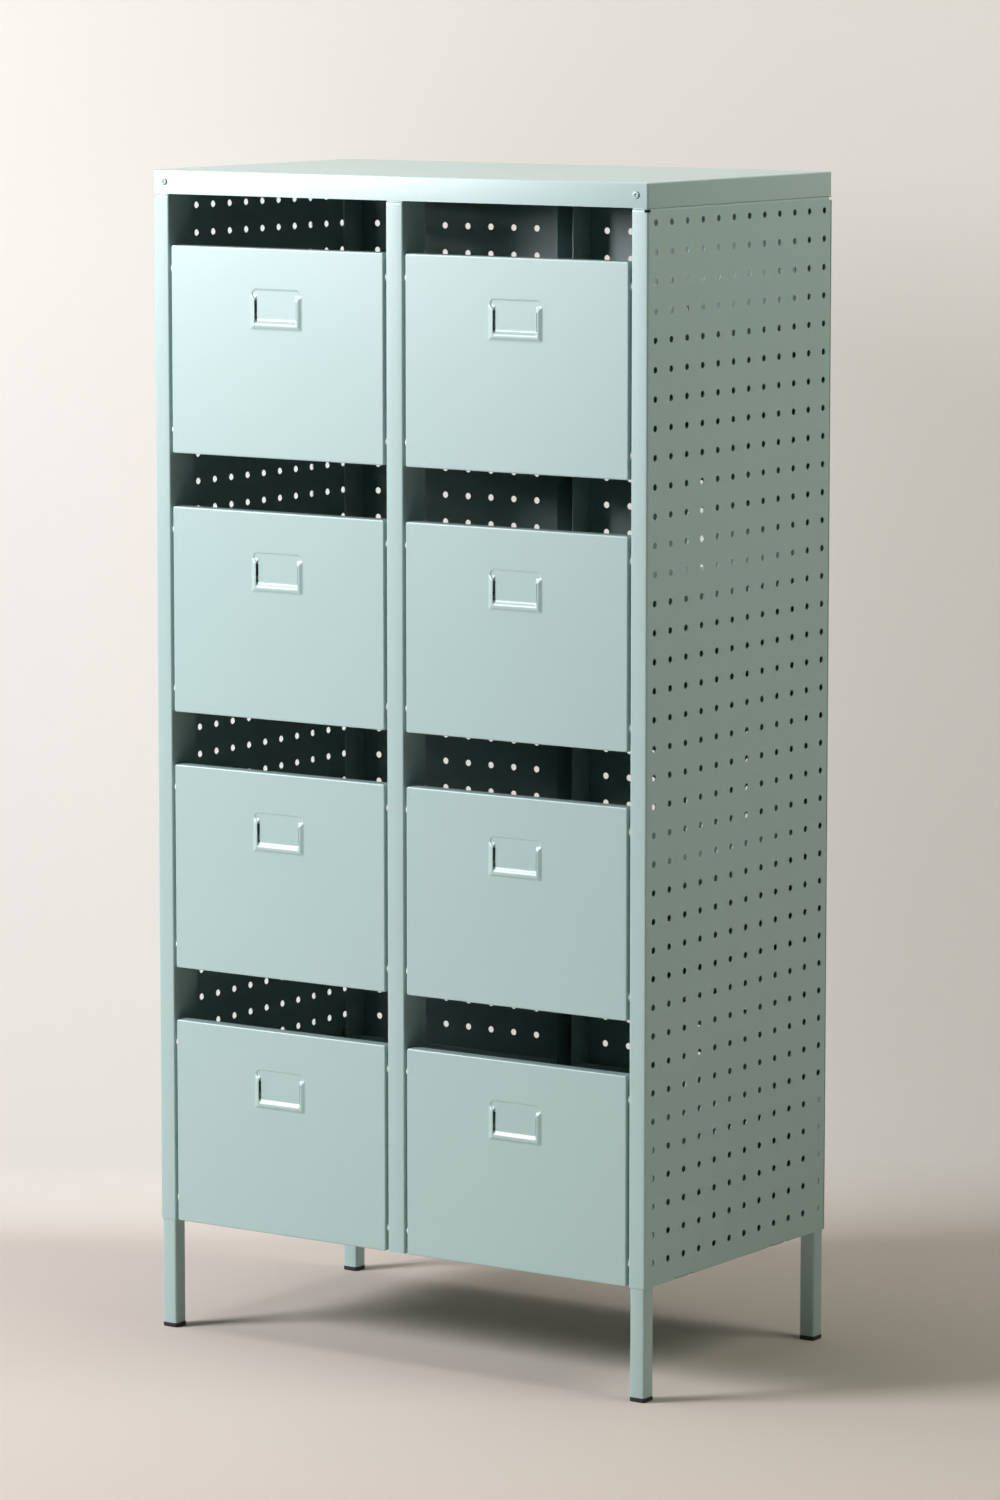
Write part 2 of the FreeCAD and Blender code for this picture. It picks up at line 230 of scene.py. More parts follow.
def bent(path: Sequence[tuple[float, float]], radii: float | Sequence[float], sheet: float,
         steps: int = 6) -> Section:
    """Bends a straight sheet along a path of corners, with the sheet on the path's left.

    Each corner becomes an arc whose points are its centre plus the radius times the outward direction, and that
    direction turns evenly from one straight's normal to the next. On a left turn the outer line has the full
    radius, and on a right turn it is the inner one, a sheet's thickness smaller. Points that fall on the one
    before them are left out.

    Args:
        path: Corners of the outer line.
        radii: Outside radius of the bends, one for all or one for each corner between the ends.
        sheet: Thickness of the sheet, or 0 for a solid's outline.
        steps: Straight pieces in each bend.

    Returns:
        The section.
    """
    corners = np.array(path, float)
    inner = len(corners) - 2
    sizes = [float(radii)] * inner if isinstance(radii, (int, float)) else list(radii)
    steps_between = unit(np.diff(corners, axis=0))
    headings = np.arctan2(steps_between[:, 1], steps_between[:, 0])
    points, angles = [corners[:1]], [headings[:1]]
    for corner, size, before, after in zip(corners[1:-1], sizes, headings[:-1], headings[1:]):
        turn = (after - before + math.pi) % (2 * math.pi) - math.pi
        way = math.copysign(1.0, turn)
        radius = max(size if turn > 0 else size - sheet, 0.0)
        reach = radius * math.tan(abs(turn) / 2)
        start = corner - reach * np.array([math.cos(before), math.sin(before)])
        centre = start + way * radius * np.array([-math.sin(before), math.cos(before)])
        heading = before + turn * np.linspace(0, 1, steps + 1)
        points.append(centre + way * radius * np.stack([np.sin(heading), -np.cos(heading)], axis=-1))
        angles.append(heading)
    points.append(corners[-1:])
    angles.append(headings[-1:])
    line = np.concatenate(points)
    heading = np.concatenate(angles)
    apart = np.linalg.norm(np.diff(line, axis=0), axis=1) > SAME_POINT
    kept = np.concatenate([[True], apart])
    line, heading = line[kept], heading[kept]
    normals = np.stack([np.sin(heading), -np.cos(heading)], axis=-1)
    lengths = np.linalg.norm(np.diff(line, axis=0), axis=1)
    return Section(np.concatenate([[0.0], np.cumsum(lengths)]), line, normals)


@dataclass
class Blank:
    """Flat sheet before it is bent: lines across and along it, round holes and cut-outs.

    The lines make a grid of cells. Each hole takes a square of four by four cells, which becomes a ring between
    the square's sixteen border points and sixteen points round the hole. A cut-out leaves its cells away.
    """

    across: Array
    along: Array
    holes: Array = field(default_factory=lambda: np.zeros((0, 3)))
    cutouts: Sequence[tuple[float, float, float, float]] = ()
    tile: float = 5.0

    def flat(self) -> tuple[Array, Indices]:
        """Works out the flat grid.

        Returns:
            Places across and along the sheet, and the quads between them, anticlockwise.
        """
        offsets = self.tile * np.linspace(-1, 1, 5)
        across = np.unique(np.round(np.concatenate(
            [self.across] + [(self.holes[:, :1] + offsets).ravel()] + [np.array(c[:2]) for c in self.cutouts]), 3))
        along = np.unique(np.round(np.concatenate(
            [self.along] + [(self.holes[:, 1:2] + offsets).ravel()] + [np.array(c[2:]) for c in self.cutouts]), 3))
        number = np.arange(len(across) * len(along)).reshape(len(across), len(along))
        cell = np.stack([number[:-1, :-1], number[1:, :-1], number[1:, 1:], number[:-1, 1:]], axis=-1)
        present = np.ones(cell.shape[:2], bool)
        middle_across = ((across[:-1] + across[1:]) / 2)[:, None]
        middle_along = ((along[:-1] + along[1:]) / 2)[None, :]
        for low, high, start, end in self.cutouts:
            present &= ~((middle_across > low) & (middle_across < high)
                         & (middle_along > start) & (middle_along < end))
        grid = np.stack(np.meshgrid(across, along, indexing="ij"), axis=-1).reshape(-1, 2)
        if not len(self.holes):
            return grid, cell[present]

        first = np.searchsorted(across, np.round(self.holes[:, 0] - self.tile, 3))
        second = np.searchsorted(along, np.round(self.holes[:, 1] - self.tile, 3))
        span = np.arange(4)
        present[first[:, None, None] + span[:, None], second[:, None, None] + span[None, :]] = False
        out = np.array([4, 4, 4, 3, 2, 1, 0, 0, 0, 0, 0, 1, 2, 3, 4, 4])
        up = np.array([2, 3, 4, 4, 4, 4, 4, 3, 2, 1, 0, 0, 0, 0, 0, 1])
        border = number[first[:, None] + out, second[:, None] + up]
        angle = np.arange(16) * (math.pi / 8)
        circle = np.stack([np.cos(angle), np.sin(angle)], axis=-1)
        ring = self.holes[:, None, :2] + self.holes[:, None, 2:] * circle
        inner = len(grid) + np.arange(len(self.holes) * 16).reshape(-1, 16)
        rings = np.stack([inner, border, np.roll(border, -1, axis=1), np.roll(inner, -1, axis=1)], axis=-1)
        return np.concatenate([grid, ring.reshape(-1, 2)]), np.concatenate([cell[present], rings.reshape(-1, 4)])


def folded(blank: Blank, section: Bending, plane: Plane, sheet: float) -> Skin:
    """Bends a blank and gives it its thickness.

    A point of the blank goes to the section's point for its place across the sheet, and its place along the
    sheet is its coordinate on the axis that the bends run along.

    Args:
        blank: The flat sheet.
        section: Gives section points and normals for places across and along the sheet.
        plane: Plane of the section.
        sheet: Thickness of the sheet.

    Returns:
        The folded sheet as a closed wall.
    """
    places, quads = blank.flat()
    points, normals = section(places[:, 0], places[:, 1])
    solid = np.insert(points, plane.value, places[:, 1], axis=1)
    facing = np.insert(normals, plane.value, 0.0, axis=1)
    if plane is Plane.FACE:
        quads = quads[:, ::-1]
    return Skin(solid, facing, quads).thickened(sheet)


def constant(section: Section) -> Bending:
    """The same section all along a sheet."""
    return lambda across, along: section.at(across)


@dataclass(frozen=True)
class Outline:
    """Rounded rectangle, or a circle where the radius is half its sides, that a profile is carried round."""

    half: tuple[float, float]
    radius: float
    steps: int = 5
    least: float = 0.25

    def directions(self) -> tuple[Array, Array]:
        """Works out the way each point of the outline faces.

        Returns:
            Unit directions, and the signs of x and y of the corner that each belongs to.
        """
        round_one = self.radius >= min(self.half)
        shares = np.linspace(0, 1, self.steps + 1)
        shares = shares[:-1] if round_one else shares
        angle = ((np.arange(4)[:, None] + shares[None, :]) * (math.pi / 2)).ravel()
        corner = np.repeat(np.array([[1, 1], [-1, 1], [-1, -1], [1, -1]], float), len(shares), axis=0)
        return np.stack([np.cos(angle), np.sin(angle)], axis=-1), corner

    def at(self, outward: float) -> Array:
        """Finds the outline moved outwards by a distance: corner centre plus corner radius times direction.

        Args:
            outward: Distance outside the outline, below 0 for inside.

        Returns:
            Its points, anticlockwise.
        """
        directions, corner = self.directions()
        radius = max(self.radius + outward, self.least)
        centre = np.maximum(np.array(self.half) + outward - radius, 0.0)
        return corner * centre + directions * radius


def carried(outline: Outline, profile: Section, start_closed: bool = False, end_closed: bool = False) -> Skin:
    """Carries a profile round an outline: its first coordinate goes outwards and its second upwards.

    Args:
        outline: The outline, seen from above.
        profile: The profile, with outside on its right.
        start_closed: Whether a polygon closes the profile's first ring.
        end_closed: Whether a polygon closes its last ring.

    Returns:
        The surface, open where no polygon closes it.
    """
    directions, _ = outline.directions()
    count = len(directions)
    rings = [np.column_stack([outline.at(u), np.full(count, v)]) for u, v in profile.points]
    facing = [np.column_stack([directions * a, np.full(count, b)]) for a, b in profile.normals]
    number = np.arange(len(rings) * count).reshape(len(rings), count)
    following = np.roll(number, -1, axis=1)
    quads = np.stack([number[:-1], following[:-1], following[1:], number[1:]], axis=-1).reshape(-1, 4)
    polygons = []
    if start_closed:
        polygons.append(number[0, ::-1])
    if end_closed:
        polygons.append(number[-1])
    return Skin(np.concatenate(rings), np.concatenate(facing), quads, polygons)


UPRIGHT = np.eye(3)
TURNED_DOWN = np.diag([1.0, -1.0, -1.0])
FACING_FRONT = np.array([[1.0, 0.0, 0.0], [0.0, 0.0, -1.0], [0.0, 1.0, 0.0]])
FACING_REAR = np.array([[-1.0, 0.0, 0.0], [0.0, 0.0, 1.0], [0.0, 1.0, 0.0]])
FACING_RIGHT = np.array([[0.0, 0.0, 1.0], [1.0, 0.0, 0.0], [0.0, 1.0, 0.0]])
FACING_LEFT = np.array([[0.0, 0.0, -1.0], [-1.0, 0.0, 0.0], [0.0, 1.0, 0.0]])


class Value:
    """A shader socket that takes part in Python expressions, each of which adds its Math nodes."""

    def __init__(self, sheet: "NodeSheet", socket: bpy.types.NodeSocket) -> None:
        """Wraps a socket of a sheet of nodes."""
        self.sheet = sheet
        self.socket = socket

    def __add__(self, other: "Value | float") -> "Value":
        """Sum."""
        return self.sheet.math("ADD", self, other)

    def __sub__(self, other: "Value | float") -> "Value":
        """Difference."""
        return self.sheet.math("SUBTRACT", self, other)

    def __rsub__(self, other: float) -> "Value":
        """Difference from a number."""
        return self.sheet.math("SUBTRACT", other, self)

    def __mul__(self, other: "Value | float") -> "Value":
        """Product."""
        return self.sheet.math("MULTIPLY", self, other)

    def clamped(self) -> "Value":
        """The same value kept between 0 and 1."""
        limited = self.sheet.node("ShaderNodeClamp", None, Value=self)
        return Value(self.sheet, limited.outputs[0])

    __radd__ = __add__
    __rmul__ = __mul__


class NodeSheet:
    """The nodes of one material, from an empty tree to its output."""

    def __init__(self, name: str) -> None:
        """Makes the material and clears its tree.

        Args:
            name: Name of the material.
        """
        self.material = bpy.data.materials.new(name)
        self.material.use_nodes = True
        self.tree = self.material.node_tree
        self.tree.nodes.clear()

    def node(self, kind: str, settings: dict[str, object] | None = None, **sockets: object) -> bpy.types.Node:
        """Adds a node: its settings are set first, then the values or links of its sockets.

        Args:
            kind: Blender's name for the type of node.
            settings: Properties of the node.
            **sockets: Values, Value objects or sockets, by the socket's name with _ for a space, or by its number
                after a _.

        Returns:
            The node.
        """
        made = self.tree.nodes.new(kind)
        for key, setting in (settings or {}).items():
            setattr(made, key, setting)
        for key, given in sockets.items():
            place = made.inputs[int(key[1:])] if key[0] == "_" else made.inputs[key.replace("_", " ")]
            self.connect(given, place)
        return made

    def connect(self, given: object, place: bpy.types.NodeSocket) -> None:
        """Links a socket, or sets a plain value.

        Args:
            given: Value object or socket to link, or the plain value.
            place: Socket that takes it.
        """
        given = given.socket if isinstance(given, Value) else given
        if isinstance(given, bpy.types.NodeSocket):
            self.tree.links.new(given, place)
        else:
            place.default_value = given

    def math(self, operation: str, first: "Value | float", second: "Value | float") -> Value:
        """Adds a Math node and wraps its result."""
        made = self.node("ShaderNodeMath", {"operation": operation}, _0=first, _1=second)
        return Value(self, made.outputs[0])

    def blended(self, share: "Value | float", first: object, second: object) -> bpy.types.NodeSocket:
        """Mixes two colours.

        Args:
            share: Share of the second colour.
            first: Colour or socket at share 0.
            second: Colour or socket at share 1.

        Returns:
            The mixed colour's socket.
        """
        made = self.node("ShaderNodeMix", {"data_type": "RGBA"}, _0=share, _6=first, _7=second)
        return made.outputs[2]

    def coordinates(self) -> bpy.types.NodeSocket:
        """Object coordinates, in metres from the frame's origin."""
        return self.node("ShaderNodeTexCoord").outputs["Object"]

    def noise(self, scale: float, detail: float = 2.0, roughness: float = 0.5) -> Value:
        """Soft noise over object coordinates.

        Args:
            scale: Waves in a metre.
            detail: Finer layers on top of the first.
            roughness: Weight of each finer layer.

        Returns:
            Numbers about 0.5.
        """
        made = self.node("ShaderNodeTexNoise", None, Vector=self.coordinates(), Scale=scale, Detail=detail,
                         Roughness=roughness)
        return Value(self, made.outputs["Fac"])

    def edges(self, reach: float) -> Value:
        """Finds edges: one minus the cosine between the normal and that of a rounding of the edges.

        Args:
            reach: Radius of the rounding, in metres.

        Returns:
            0 on flats, more on edges.
        """
        rounded = self.node("ShaderNodeBevel", {"samples": 4}, Radius=reach)
        normal = self.node("ShaderNodeNewGeometry").outputs["Normal"]
        cosine = self.node("ShaderNodeVectorMath", {"operation": "DOT_PRODUCT"}, _0=rounded.outputs[0], _1=normal)
        return 1 - Value(self, cosine.outputs["Value"])

    def bump(self, height: Value, distance: float,
             under: bpy.types.NodeSocket | None = None) -> bpy.types.NodeSocket:
        """Bends the normals as a height would.

        Args:
            height: Height of the surface.
            distance: Metres that a height of 1 stands for.
            under: Normal of a bump that this one lies on.

        Returns:
            The normal.
        """
        sockets = {"Height": height, "Strength": 1.0, "Distance": distance}
        if under is not None:
            sockets["Normal"] = under
        return self.node("ShaderNodeBump", None, **sockets).outputs["Normal"]

    def surface(self, **sockets: object) -> bpy.types.Material:
        """Ends the tree with one Principled shader.

        Args:
            **sockets: Its values and links by name, with _ for a space.

        Returns:
            The material.
        """
        shader = self.node("ShaderNodeBsdfPrincipled", None, **sockets)
        self.node("ShaderNodeOutputMaterial", None, Surface=shader.outputs[0])
        return self.material


@dataclass(frozen=True)
class PowderCoat:
    """Satin powder coat: fine orange peel, a slow waviness of the sheet, cloudy colour and a paler painted
    highlight on the edges.

    The edge mask is one minus the cosine between the surface's normal and the normal that a small rounding of
    the edges would give, so it is 0 on the flats and rises on bends and cut edges. There it paints a paler, patchy
    highlight into the colour and lowers the roughness.
    """

    colour: tuple[float, float, float, float] = (0.355, 0.500, 0.483, 1.0)
    cloud: tuple[float, float, float, float] = (0.380, 0.525, 0.510, 1.0)
    # Paler tone of the painted highlight along bends and cut edges.
    edge: tuple[float, float, float, float] = (0.54, 0.66, 0.64, 1.0)
    roughness: float = 0.40
    gloss: float = 0.8
    gloss_roughness: float = 0.37
    roughness_spread: float = 0.10
    cloud_scale: float = 7.0
    speck_scale: float = 260.0
    speck_share: float = 0.3
    edge_roughness: float = -0.10
    edge_reach: float = 0.0009
    edge_gain: float = 3.0
    highlight_patch_scale: float = 38.0
    highlight_patch_spread: float = 0.8
    highlight_patch_least: float = 0.35
    peel_scale: float = 900.0
    peel_height: float = 0.00004
    wave_scale: float = 5.0
    wave_height: float = 0.0005

    def material(self) -> bpy.types.Material:
        """Builds the finish.

        Returns:
            The material.
        """
        sheet = NodeSheet("powder_coat")
        cloud = sheet.noise(self.cloud_scale, detail=3.0)
        speck = sheet.noise(self.speck_scale, detail=2.0)
        patches = sheet.noise(self.highlight_patch_scale, detail=3.0) * self.highlight_patch_spread + self.highlight_patch_least
        # Painted highlight: a patchy mask of the bends and cut edges, which turns their colour paler.
        edge_highlight = (sheet.edges(self.edge_reach) * self.edge_gain * patches).clamped()
        waves = sheet.bump(sheet.noise(self.wave_scale, detail=1.0), self.wave_height)
        peel = sheet.bump(sheet.noise(self.peel_scale, detail=1.0), self.peel_height, waves)
        tone = cloud * (1 - self.speck_share) + speck * self.speck_share
        painted = sheet.blended(tone, self.colour, self.cloud)
        return sheet.surface(
            Base_Color=sheet.blended(edge_highlight, painted, self.edge),
            Roughness=(speck - 0.5) * self.roughness_spread + self.roughness + edge_highlight * self.edge_roughness,
            Normal=peel,
            Specular_IOR_Level=0.5,
            Coat_Weight=self.gloss,
            Coat_Roughness=self.gloss_roughness,
        )


@dataclass(frozen=True)
class MouldedPlastic:
    """Moulded plastic with a fine spark-eroded grain and slightly scuffed tone."""

    name: str
    colour: tuple[float, float, float, float]
    scuff: tuple[float, float, float, float]
    roughness: float
    roughness_spread: float = 0.25
    scuff_scale: float = 90.0
    grain_scale: float = 1600.0
    grain_height: float = 0.00006

    def material(self) -> bpy.types.Material:
        """Builds the finish.

        Returns:
            The material.
        """
        sheet = NodeSheet(self.name)
        scuffs = sheet.noise(self.scuff_scale, detail=4.0, roughness=0.6)
        return sheet.surface(
            Base_Color=sheet.blended(scuffs, self.colour, self.scuff),
            Roughness=(scuffs - 0.5) * self.roughness_spread + self.roughness,
            Normal=sheet.bump(sheet.noise(self.grain_scale, detail=2.0), self.grain_height),
        )


@dataclass(frozen=True)
class PlatedSteel:
    """Zinc-plated steel with faint turning marks."""

    colour: tuple[float, float, float, float] = (0.62, 0.63, 0.64, 1.0)
    dulled: tuple[float, float, float, float] = (0.42, 0.43, 0.43, 1.0)
    roughness: float = 0.32
    roughness_spread: float = 0.2
    patch_scale: float = 400.0
    grain_scale: float = 3000.0
    grain_height: float = 0.00002

    def material(self) -> bpy.types.Material:
        """Builds the finish.

        Returns:
            The material.
        """
        sheet = NodeSheet("plated_steel")
        patches = sheet.noise(self.patch_scale, detail=3.0)
        return sheet.surface(
            Base_Color=sheet.blended(patches, self.colour, self.dulled),
            Metallic=1.0,
            Roughness=(patches - 0.5) * self.roughness_spread + self.roughness,
            Normal=sheet.bump(sheet.noise(self.grain_scale, detail=1.0), self.grain_height),
        )


class Workshop:
    """Makes a mesh object from a skin, dresses it and puts it on its body."""

    def __init__(self) -> None:
        """Makes the finishes."""
        black = MouldedPlastic("foot_plastic", (0.006, 0.006, 0.007, 1.0), (0.014, 0.014, 0.015, 1.0), 0.555)
        grey = MouldedPlastic("glide_plastic", (0.78, 0.81, 0.81, 1.0), (0.86, 0.88, 0.88, 1.0), 0.425)
        self.finishes = {
            Slot.POWDER_COAT: PowderCoat().material(),
            Slot.FOOT: black.material(),
            Slot.GLIDE: grey.material(),
            Slot.SCREW: PlatedSteel().material(),
        }

    def make(self, node: str, skin: Skin, body: str, slot: Slot, sharp: float = 28.0) -> bpy.types.Object:
        """Makes the piece that stands for a node of the frame.

        Args:
            node: Name of the node.
            skin: Its closed surface, in millimetres.
            body: Body that it moves with.
            slot: Finish of the piece.
            sharp: Angle in degrees past which an edge isn't smoothed.

        Returns:
            The object.
        """
        used = np.unique(np.concatenate([face.ravel() for face in skin.faces()]))
        renumber = np.zeros(len(skin.points), np.int64)
        renumber[used] = np.arange(len(used))
        faces = renumber[skin.quads].tolist() + [renumber[polygon].tolist() for polygon in skin.polygons]
        mesh = bpy.data.meshes.new(node + "_shape")
        mesh.from_pydata((skin.points[used] * MILLIMETRE).tolist(), [], faces)
        mesh.shade_smooth()
        mesh.set_sharp_from_angle(angle=math.radians(sharp))
        mesh.materials.append(self.finishes[slot])
        piece = bpy.data.objects.new(node + "_dressed", mesh)
        bpy.context.scene.collection.objects.link(piece)
        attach(piece, body)
        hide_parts(node)
        log.info("%s: %d points, %d faces, on %s", piece.name, len(used), len(faces), body)
        return piece


@dataclass
class SheetSizes:
    """Sheet, bends and the perforation that the panels share."""

    sheet: float = 0.7
    bend: float = 1.5
    seam: float = 0.1
    joggle: float = 0.9
    joggle_rise: float = 1.6
    skirt: float = 21.5
    skirt_joint: float = 0.5
    cap_corner: float = 1.8
    cap_land: float = 0.2
    front_return: float = 34.0
    rear_return: float = 30.5
    notch_across: float = 3.5
    notch_along: float = 4.5
    notch_height: float = 2.4
    hole_pitch: float = 25.0
    back_pitch: float = 25.6
    hole_radius: float = 3.0
    screw_hole: float = 1.7
    screw_first_row: int = 2
    screw_row_step: int = 10
    post_hole_radius: float = 1.5
    post_hole_inset: float = 13.5
    post_hole_drop: float = 6.5
    side_columns: int = 12
    back_columns: int = 19
    hole_rows: int = 37
    hole_top_margin: float = 12.5


@dataclass(frozen=True)
class SeatSizes:
    """Turned-in lower edge of a side, and the slots in it that the bottom plate's tabs stand in."""

    width: float = 12.0
    slot_length: float = 34.0
    slot_height: float = 1.6
    slot_front_inset: float = 45.0
    slot_rear_inset: float = 62.0
    tab_length: float = 18.0
    tab_drop: float = 1.2
    tab_bend: float = 0.9
    relief: float = 4.0


class Carcass:
    """Side panels, back, top, bottom plate and centre posts."""

    body = "cabinet"

    def __init__(self, shop: Workshop, sizes: SheetSizes, seat: SeatSizes) -> None:
        """Reads the outside sizes from the frame.

        Args:
            shop: Makes the pieces.
            sizes: Sheet, bends and perforation.
            seat: The sides' lower edges.
        """
        self.seat = seat
        self.shop = shop
        self.sizes = sizes
        low, high = node_box("top_cap")
        self.half_width = float(high[0])
        self.front, self.rear = float(low[1]), float(high[1])
        self.top = float(high[2])
        self.foot = float(node_box("right_side_panel")[0][2])
        self.channel_inner = float(node_box("right_side_panel")[0][0])
        self.skirt_foot = self.top - sizes.skirt
        self.ledge_top = self.skirt_foot - sizes.skirt_joint
        self.body_top = float(node_box("right_side_panel")[1][2])
        self.body_rear = self.rear - sizes.sheet

    def rows(self) -> Array:
        """Heights of the rows of holes, from the top one down."""
        first = self.skirt_foot - self.sizes.hole_top_margin
        return first - np.arange(self.sizes.hole_rows) * self.sizes.hole_pitch

    def columns(self, count: int, pitch: float) -> Array:
        """Places of the columns of holes about the middle of a sheet."""
        return (np.arange(count) - (count - 1) / 2) * pitch

    def notch_heights(self) -> tuple[float, float]:
        """Lowest and highest point of the relief notches under the set-back at the corners."""
        top = self.ledge_top - self.sizes.sheet
        return top - self.sizes.notch_height, top

    def slot_starts(self) -> list[float]:
        """Foremost points of the slots along a side's lower edge."""
        seat = self.seat
        return [self.front + seat.slot_front_inset, self.rear - seat.slot_rear_inset - seat.slot_length]

    def back_screws(self) -> tuple[Array, Array]:
        """Places the screws through the back in the middle of the channels, half way between rows of holes.

        Returns:
            Their places across, and their heights.
        """
        s = self.sizes
        across = (self.channel_inner + self.half_width) / 2
        heights = self.rows()[s.screw_first_row::s.screw_row_step] - s.hole_pitch / 2
        return np.array([-across, across]), heights

    def rise(self, heights: Array) -> Array:
        """How far the set-back under the skirt has come in at some heights, from 0 to 1."""
        return ramp(heights - (self.ledge_top - self.sizes.joggle_rise), self.sizes.joggle_rise)

    def heights(self) -> Array:
        """Heights of the lines that a set-in sheet needs: its two ends and the set-back's curve."""
        curve = self.ledge_top - self.sizes.joggle_rise * np.linspace(1, 0, 7)
        return np.concatenate([[self.foot, self.body_top], curve])

    def set_in(self, path: Callable[[float], list[tuple[float, float]]]) -> tuple[Section, Bending]:
        """Bends a section that keeps its size below and is set in under the skirt.

        A point is the lower section's point times one minus the rise, plus the upper one's times the rise.

        Args:
            path: Gives the section's corners with its outer faces set in by a distance.

        Returns:
            The lower section, and the section for places across and along the sheet.
        """
        s = self.sizes
        lower, upper = bent(path(0.0), s.bend, s.sheet), bent(path(s.joggle), s.bend, s.sheet)

        def section(across: Array, along: Array) -> tuple[Array, Array]:
            """Mixes the two sections.

            Args:
                across: Places across the sheet.
                along: Places along it.

            Returns:
                Section points and normals.
            """
            low_points, low_normals = lower.at(across)
            high_points, high_normals = upper.at(np.interp(across, lower.along, upper.along))
            share = self.rise(along)[:, None]
            return (low_points * (1 - share) + high_points * share,
                    unit(low_normals * (1 - share) + high_normals * share))

        return lower, section

    def build(self) -> None:
        """Makes every piece of the carcass."""
        side = self.side_panel()
        for name, skin in (("right_side_panel", side), ("left_side_panel", side.mirrored())):
            self.shop.make(name, skin, self.body, Slot.POWDER_COAT)
        self.shop.make("back_panel", self.back_panel(), self.body, Slot.POWDER_COAT)
        self.shop.make("top_cap", self.top_cap(), self.body, Slot.POWDER_COAT)
        self.shop.make("base_plate", self.base_plate(), self.body, Slot.POWDER_COAT)
        self.shop.make("front_centre_post", self.front_post(), self.body, Slot.POWDER_COAT)
        self.shop.make("rear_centre_post", self.rear_post(), self.body, Slot.POWDER_COAT)

    def side_panel(self) -> Skin:
        """Folds the right side: a channel at the front and one at the rear, and holes all over between.

        Returns:
            The panel with its seat for the bottom plate.
        """
        s = self.sizes
        inner, outer = self.channel_inner, self.half_width
        front, rear = self.front, self.body_rear

        def path(inset: float) -> list[tuple[float, float]]:
            """Corners of the section with its front and side faces set in."""
            return [(inner, front + s.front_return), (inner, front + inset), (outer - inset, front + inset),
                    (outer - inset, rear), (inner, rear), (inner, rear - s.rear_return)]

        lower, section = self.set_in(path)
        holes_across = self.where(lower, outer, 0.0) + self.columns(s.side_columns, s.hole_pitch)
        perforation = self.grid(holes_across, self.rows(), s.hole_radius)
        screw_x, screw_z = self.back_screws()
        screws = self.grid(np.array([self.where(lower, float(screw_x[1]), rear)]), screw_z, s.screw_hole)
        low, high = self.notch_heights()
        cutouts = [
            (self.where(lower, outer - s.notch_across, front), self.where(lower, outer, front + s.notch_along),
             low, high),
            (self.where(lower, outer, self.rear - s.notch_along), self.where(lower, outer - s.notch_across, rear),
             low, high),
        ]
        cutouts += [
            (self.where(lower, outer, y), self.where(lower, outer, y + self.seat.slot_length),
             self.foot, self.foot + self.seat.slot_height)
            for y in self.slot_starts()
        ]
        blank = Blank(lower.along, self.heights(), np.concatenate([perforation, screws]), cutouts)
        panel = folded(blank, section, Plane.PLAN, s.sheet)
        return joined([panel, self.floor_seat()])

    def where(self, section: Section, x: float, y: float) -> float:
        """Finds the point of a section nearest to a place, among many even ones.

        Args:
            section: The section.
            x: First coordinate of the place.
            y: Its second coordinate.

        Returns:
            The point's distance along the section.
        """
        dense = np.linspace(0, section.along[-1], 8001)
        points, _ = section.at(dense)
        return float(dense[np.argmin(np.hypot(points[:, 0] - x, points[:, 1] - y))])

    def grid(self, across: Array, along: Array, radius: float) -> Array:
        """Holes of one radius at every crossing of places across and along a sheet."""
        crossing = np.stack(np.meshgrid(across, along, indexing="ij"), axis=-1).reshape(-1, 2)
        return np.column_stack([crossing, np.full(len(crossing), radius)])

    def floor_seat(self) -> Skin:
        """Turned-in lower edge of the right side, with a notch at each slot.

        Returns:
            A strip that runs from channel to channel.
        """
        s, seat = self.sizes, self.seat
        inside = self.half_width - s.sheet
        section = bent([(self.half_width - seat.width, self.foot), (inside, self.foot)], 0.0, s.sheet)
        slot_across = float(section.along[-1]) - 2 * s.seam - s.sheet
        cutouts = [(slot_across, float(section.along[-1]), y, y + seat.slot_length) for y in self.slot_starts()]
        ends = np.array([self.front + s.front_return, self.body_rear - s.rear_return])
        return folded(Blank(section.along, ends, cutouts=cutouts), constant(section), Plane.FACE, s.sheet)

    def back_panel(self) -> Skin:
        """Makes the perforated back sheet, with screw holes along both sides and its top corners notched.

        Returns:
            The flat sheet.
        """
        s = self.sizes
        half = self.half_width
        section = Section(np.array([-half, half]), np.array([[half, self.rear], [-half, self.rear]]),
                          np.array([[0.0, 1.0], [0.0, 1.0]]))
        screw_x, screw_z = self.back_screws()
        holes = np.concatenate([
            self.grid(self.columns(s.back_columns, s.back_pitch), self.rows(), s.hole_radius),
            self.grid(screw_x, screw_z, s.screw_hole),
        ])
        cutouts = [(*sorted((sign * half, sign * (half - s.notch_across))), *self.notch_heights())
                   for sign in (-1, 1)]
        blank = Blank(section.along, np.array([self.foot, self.ledge_top]), holes, cutouts)
        return folded(blank, constant(section), Plane.PLAN, s.sheet)

    def top_cap(self) -> Skin:
        """Makes the top: a tray turned over the body, its profile a skirt with a bend and the flat top.

        Returns:
            The top.
        """
        s = self.sizes
        middle = (self.front + self.rear) / 2
        outline = Outline((self.half_width, (self.rear - self.front) / 2), s.cap_corner)
        profile = bent([(0.0, -s.skirt), (0.0, 0.0), (-s.bend - s.cap_land, 0.0)], s.bend, s.sheet)
        tray = carried(outline, profile, end_closed=True).thickened(s.sheet)
        return tray.placed(UPRIGHT, (0.0, middle, self.top))

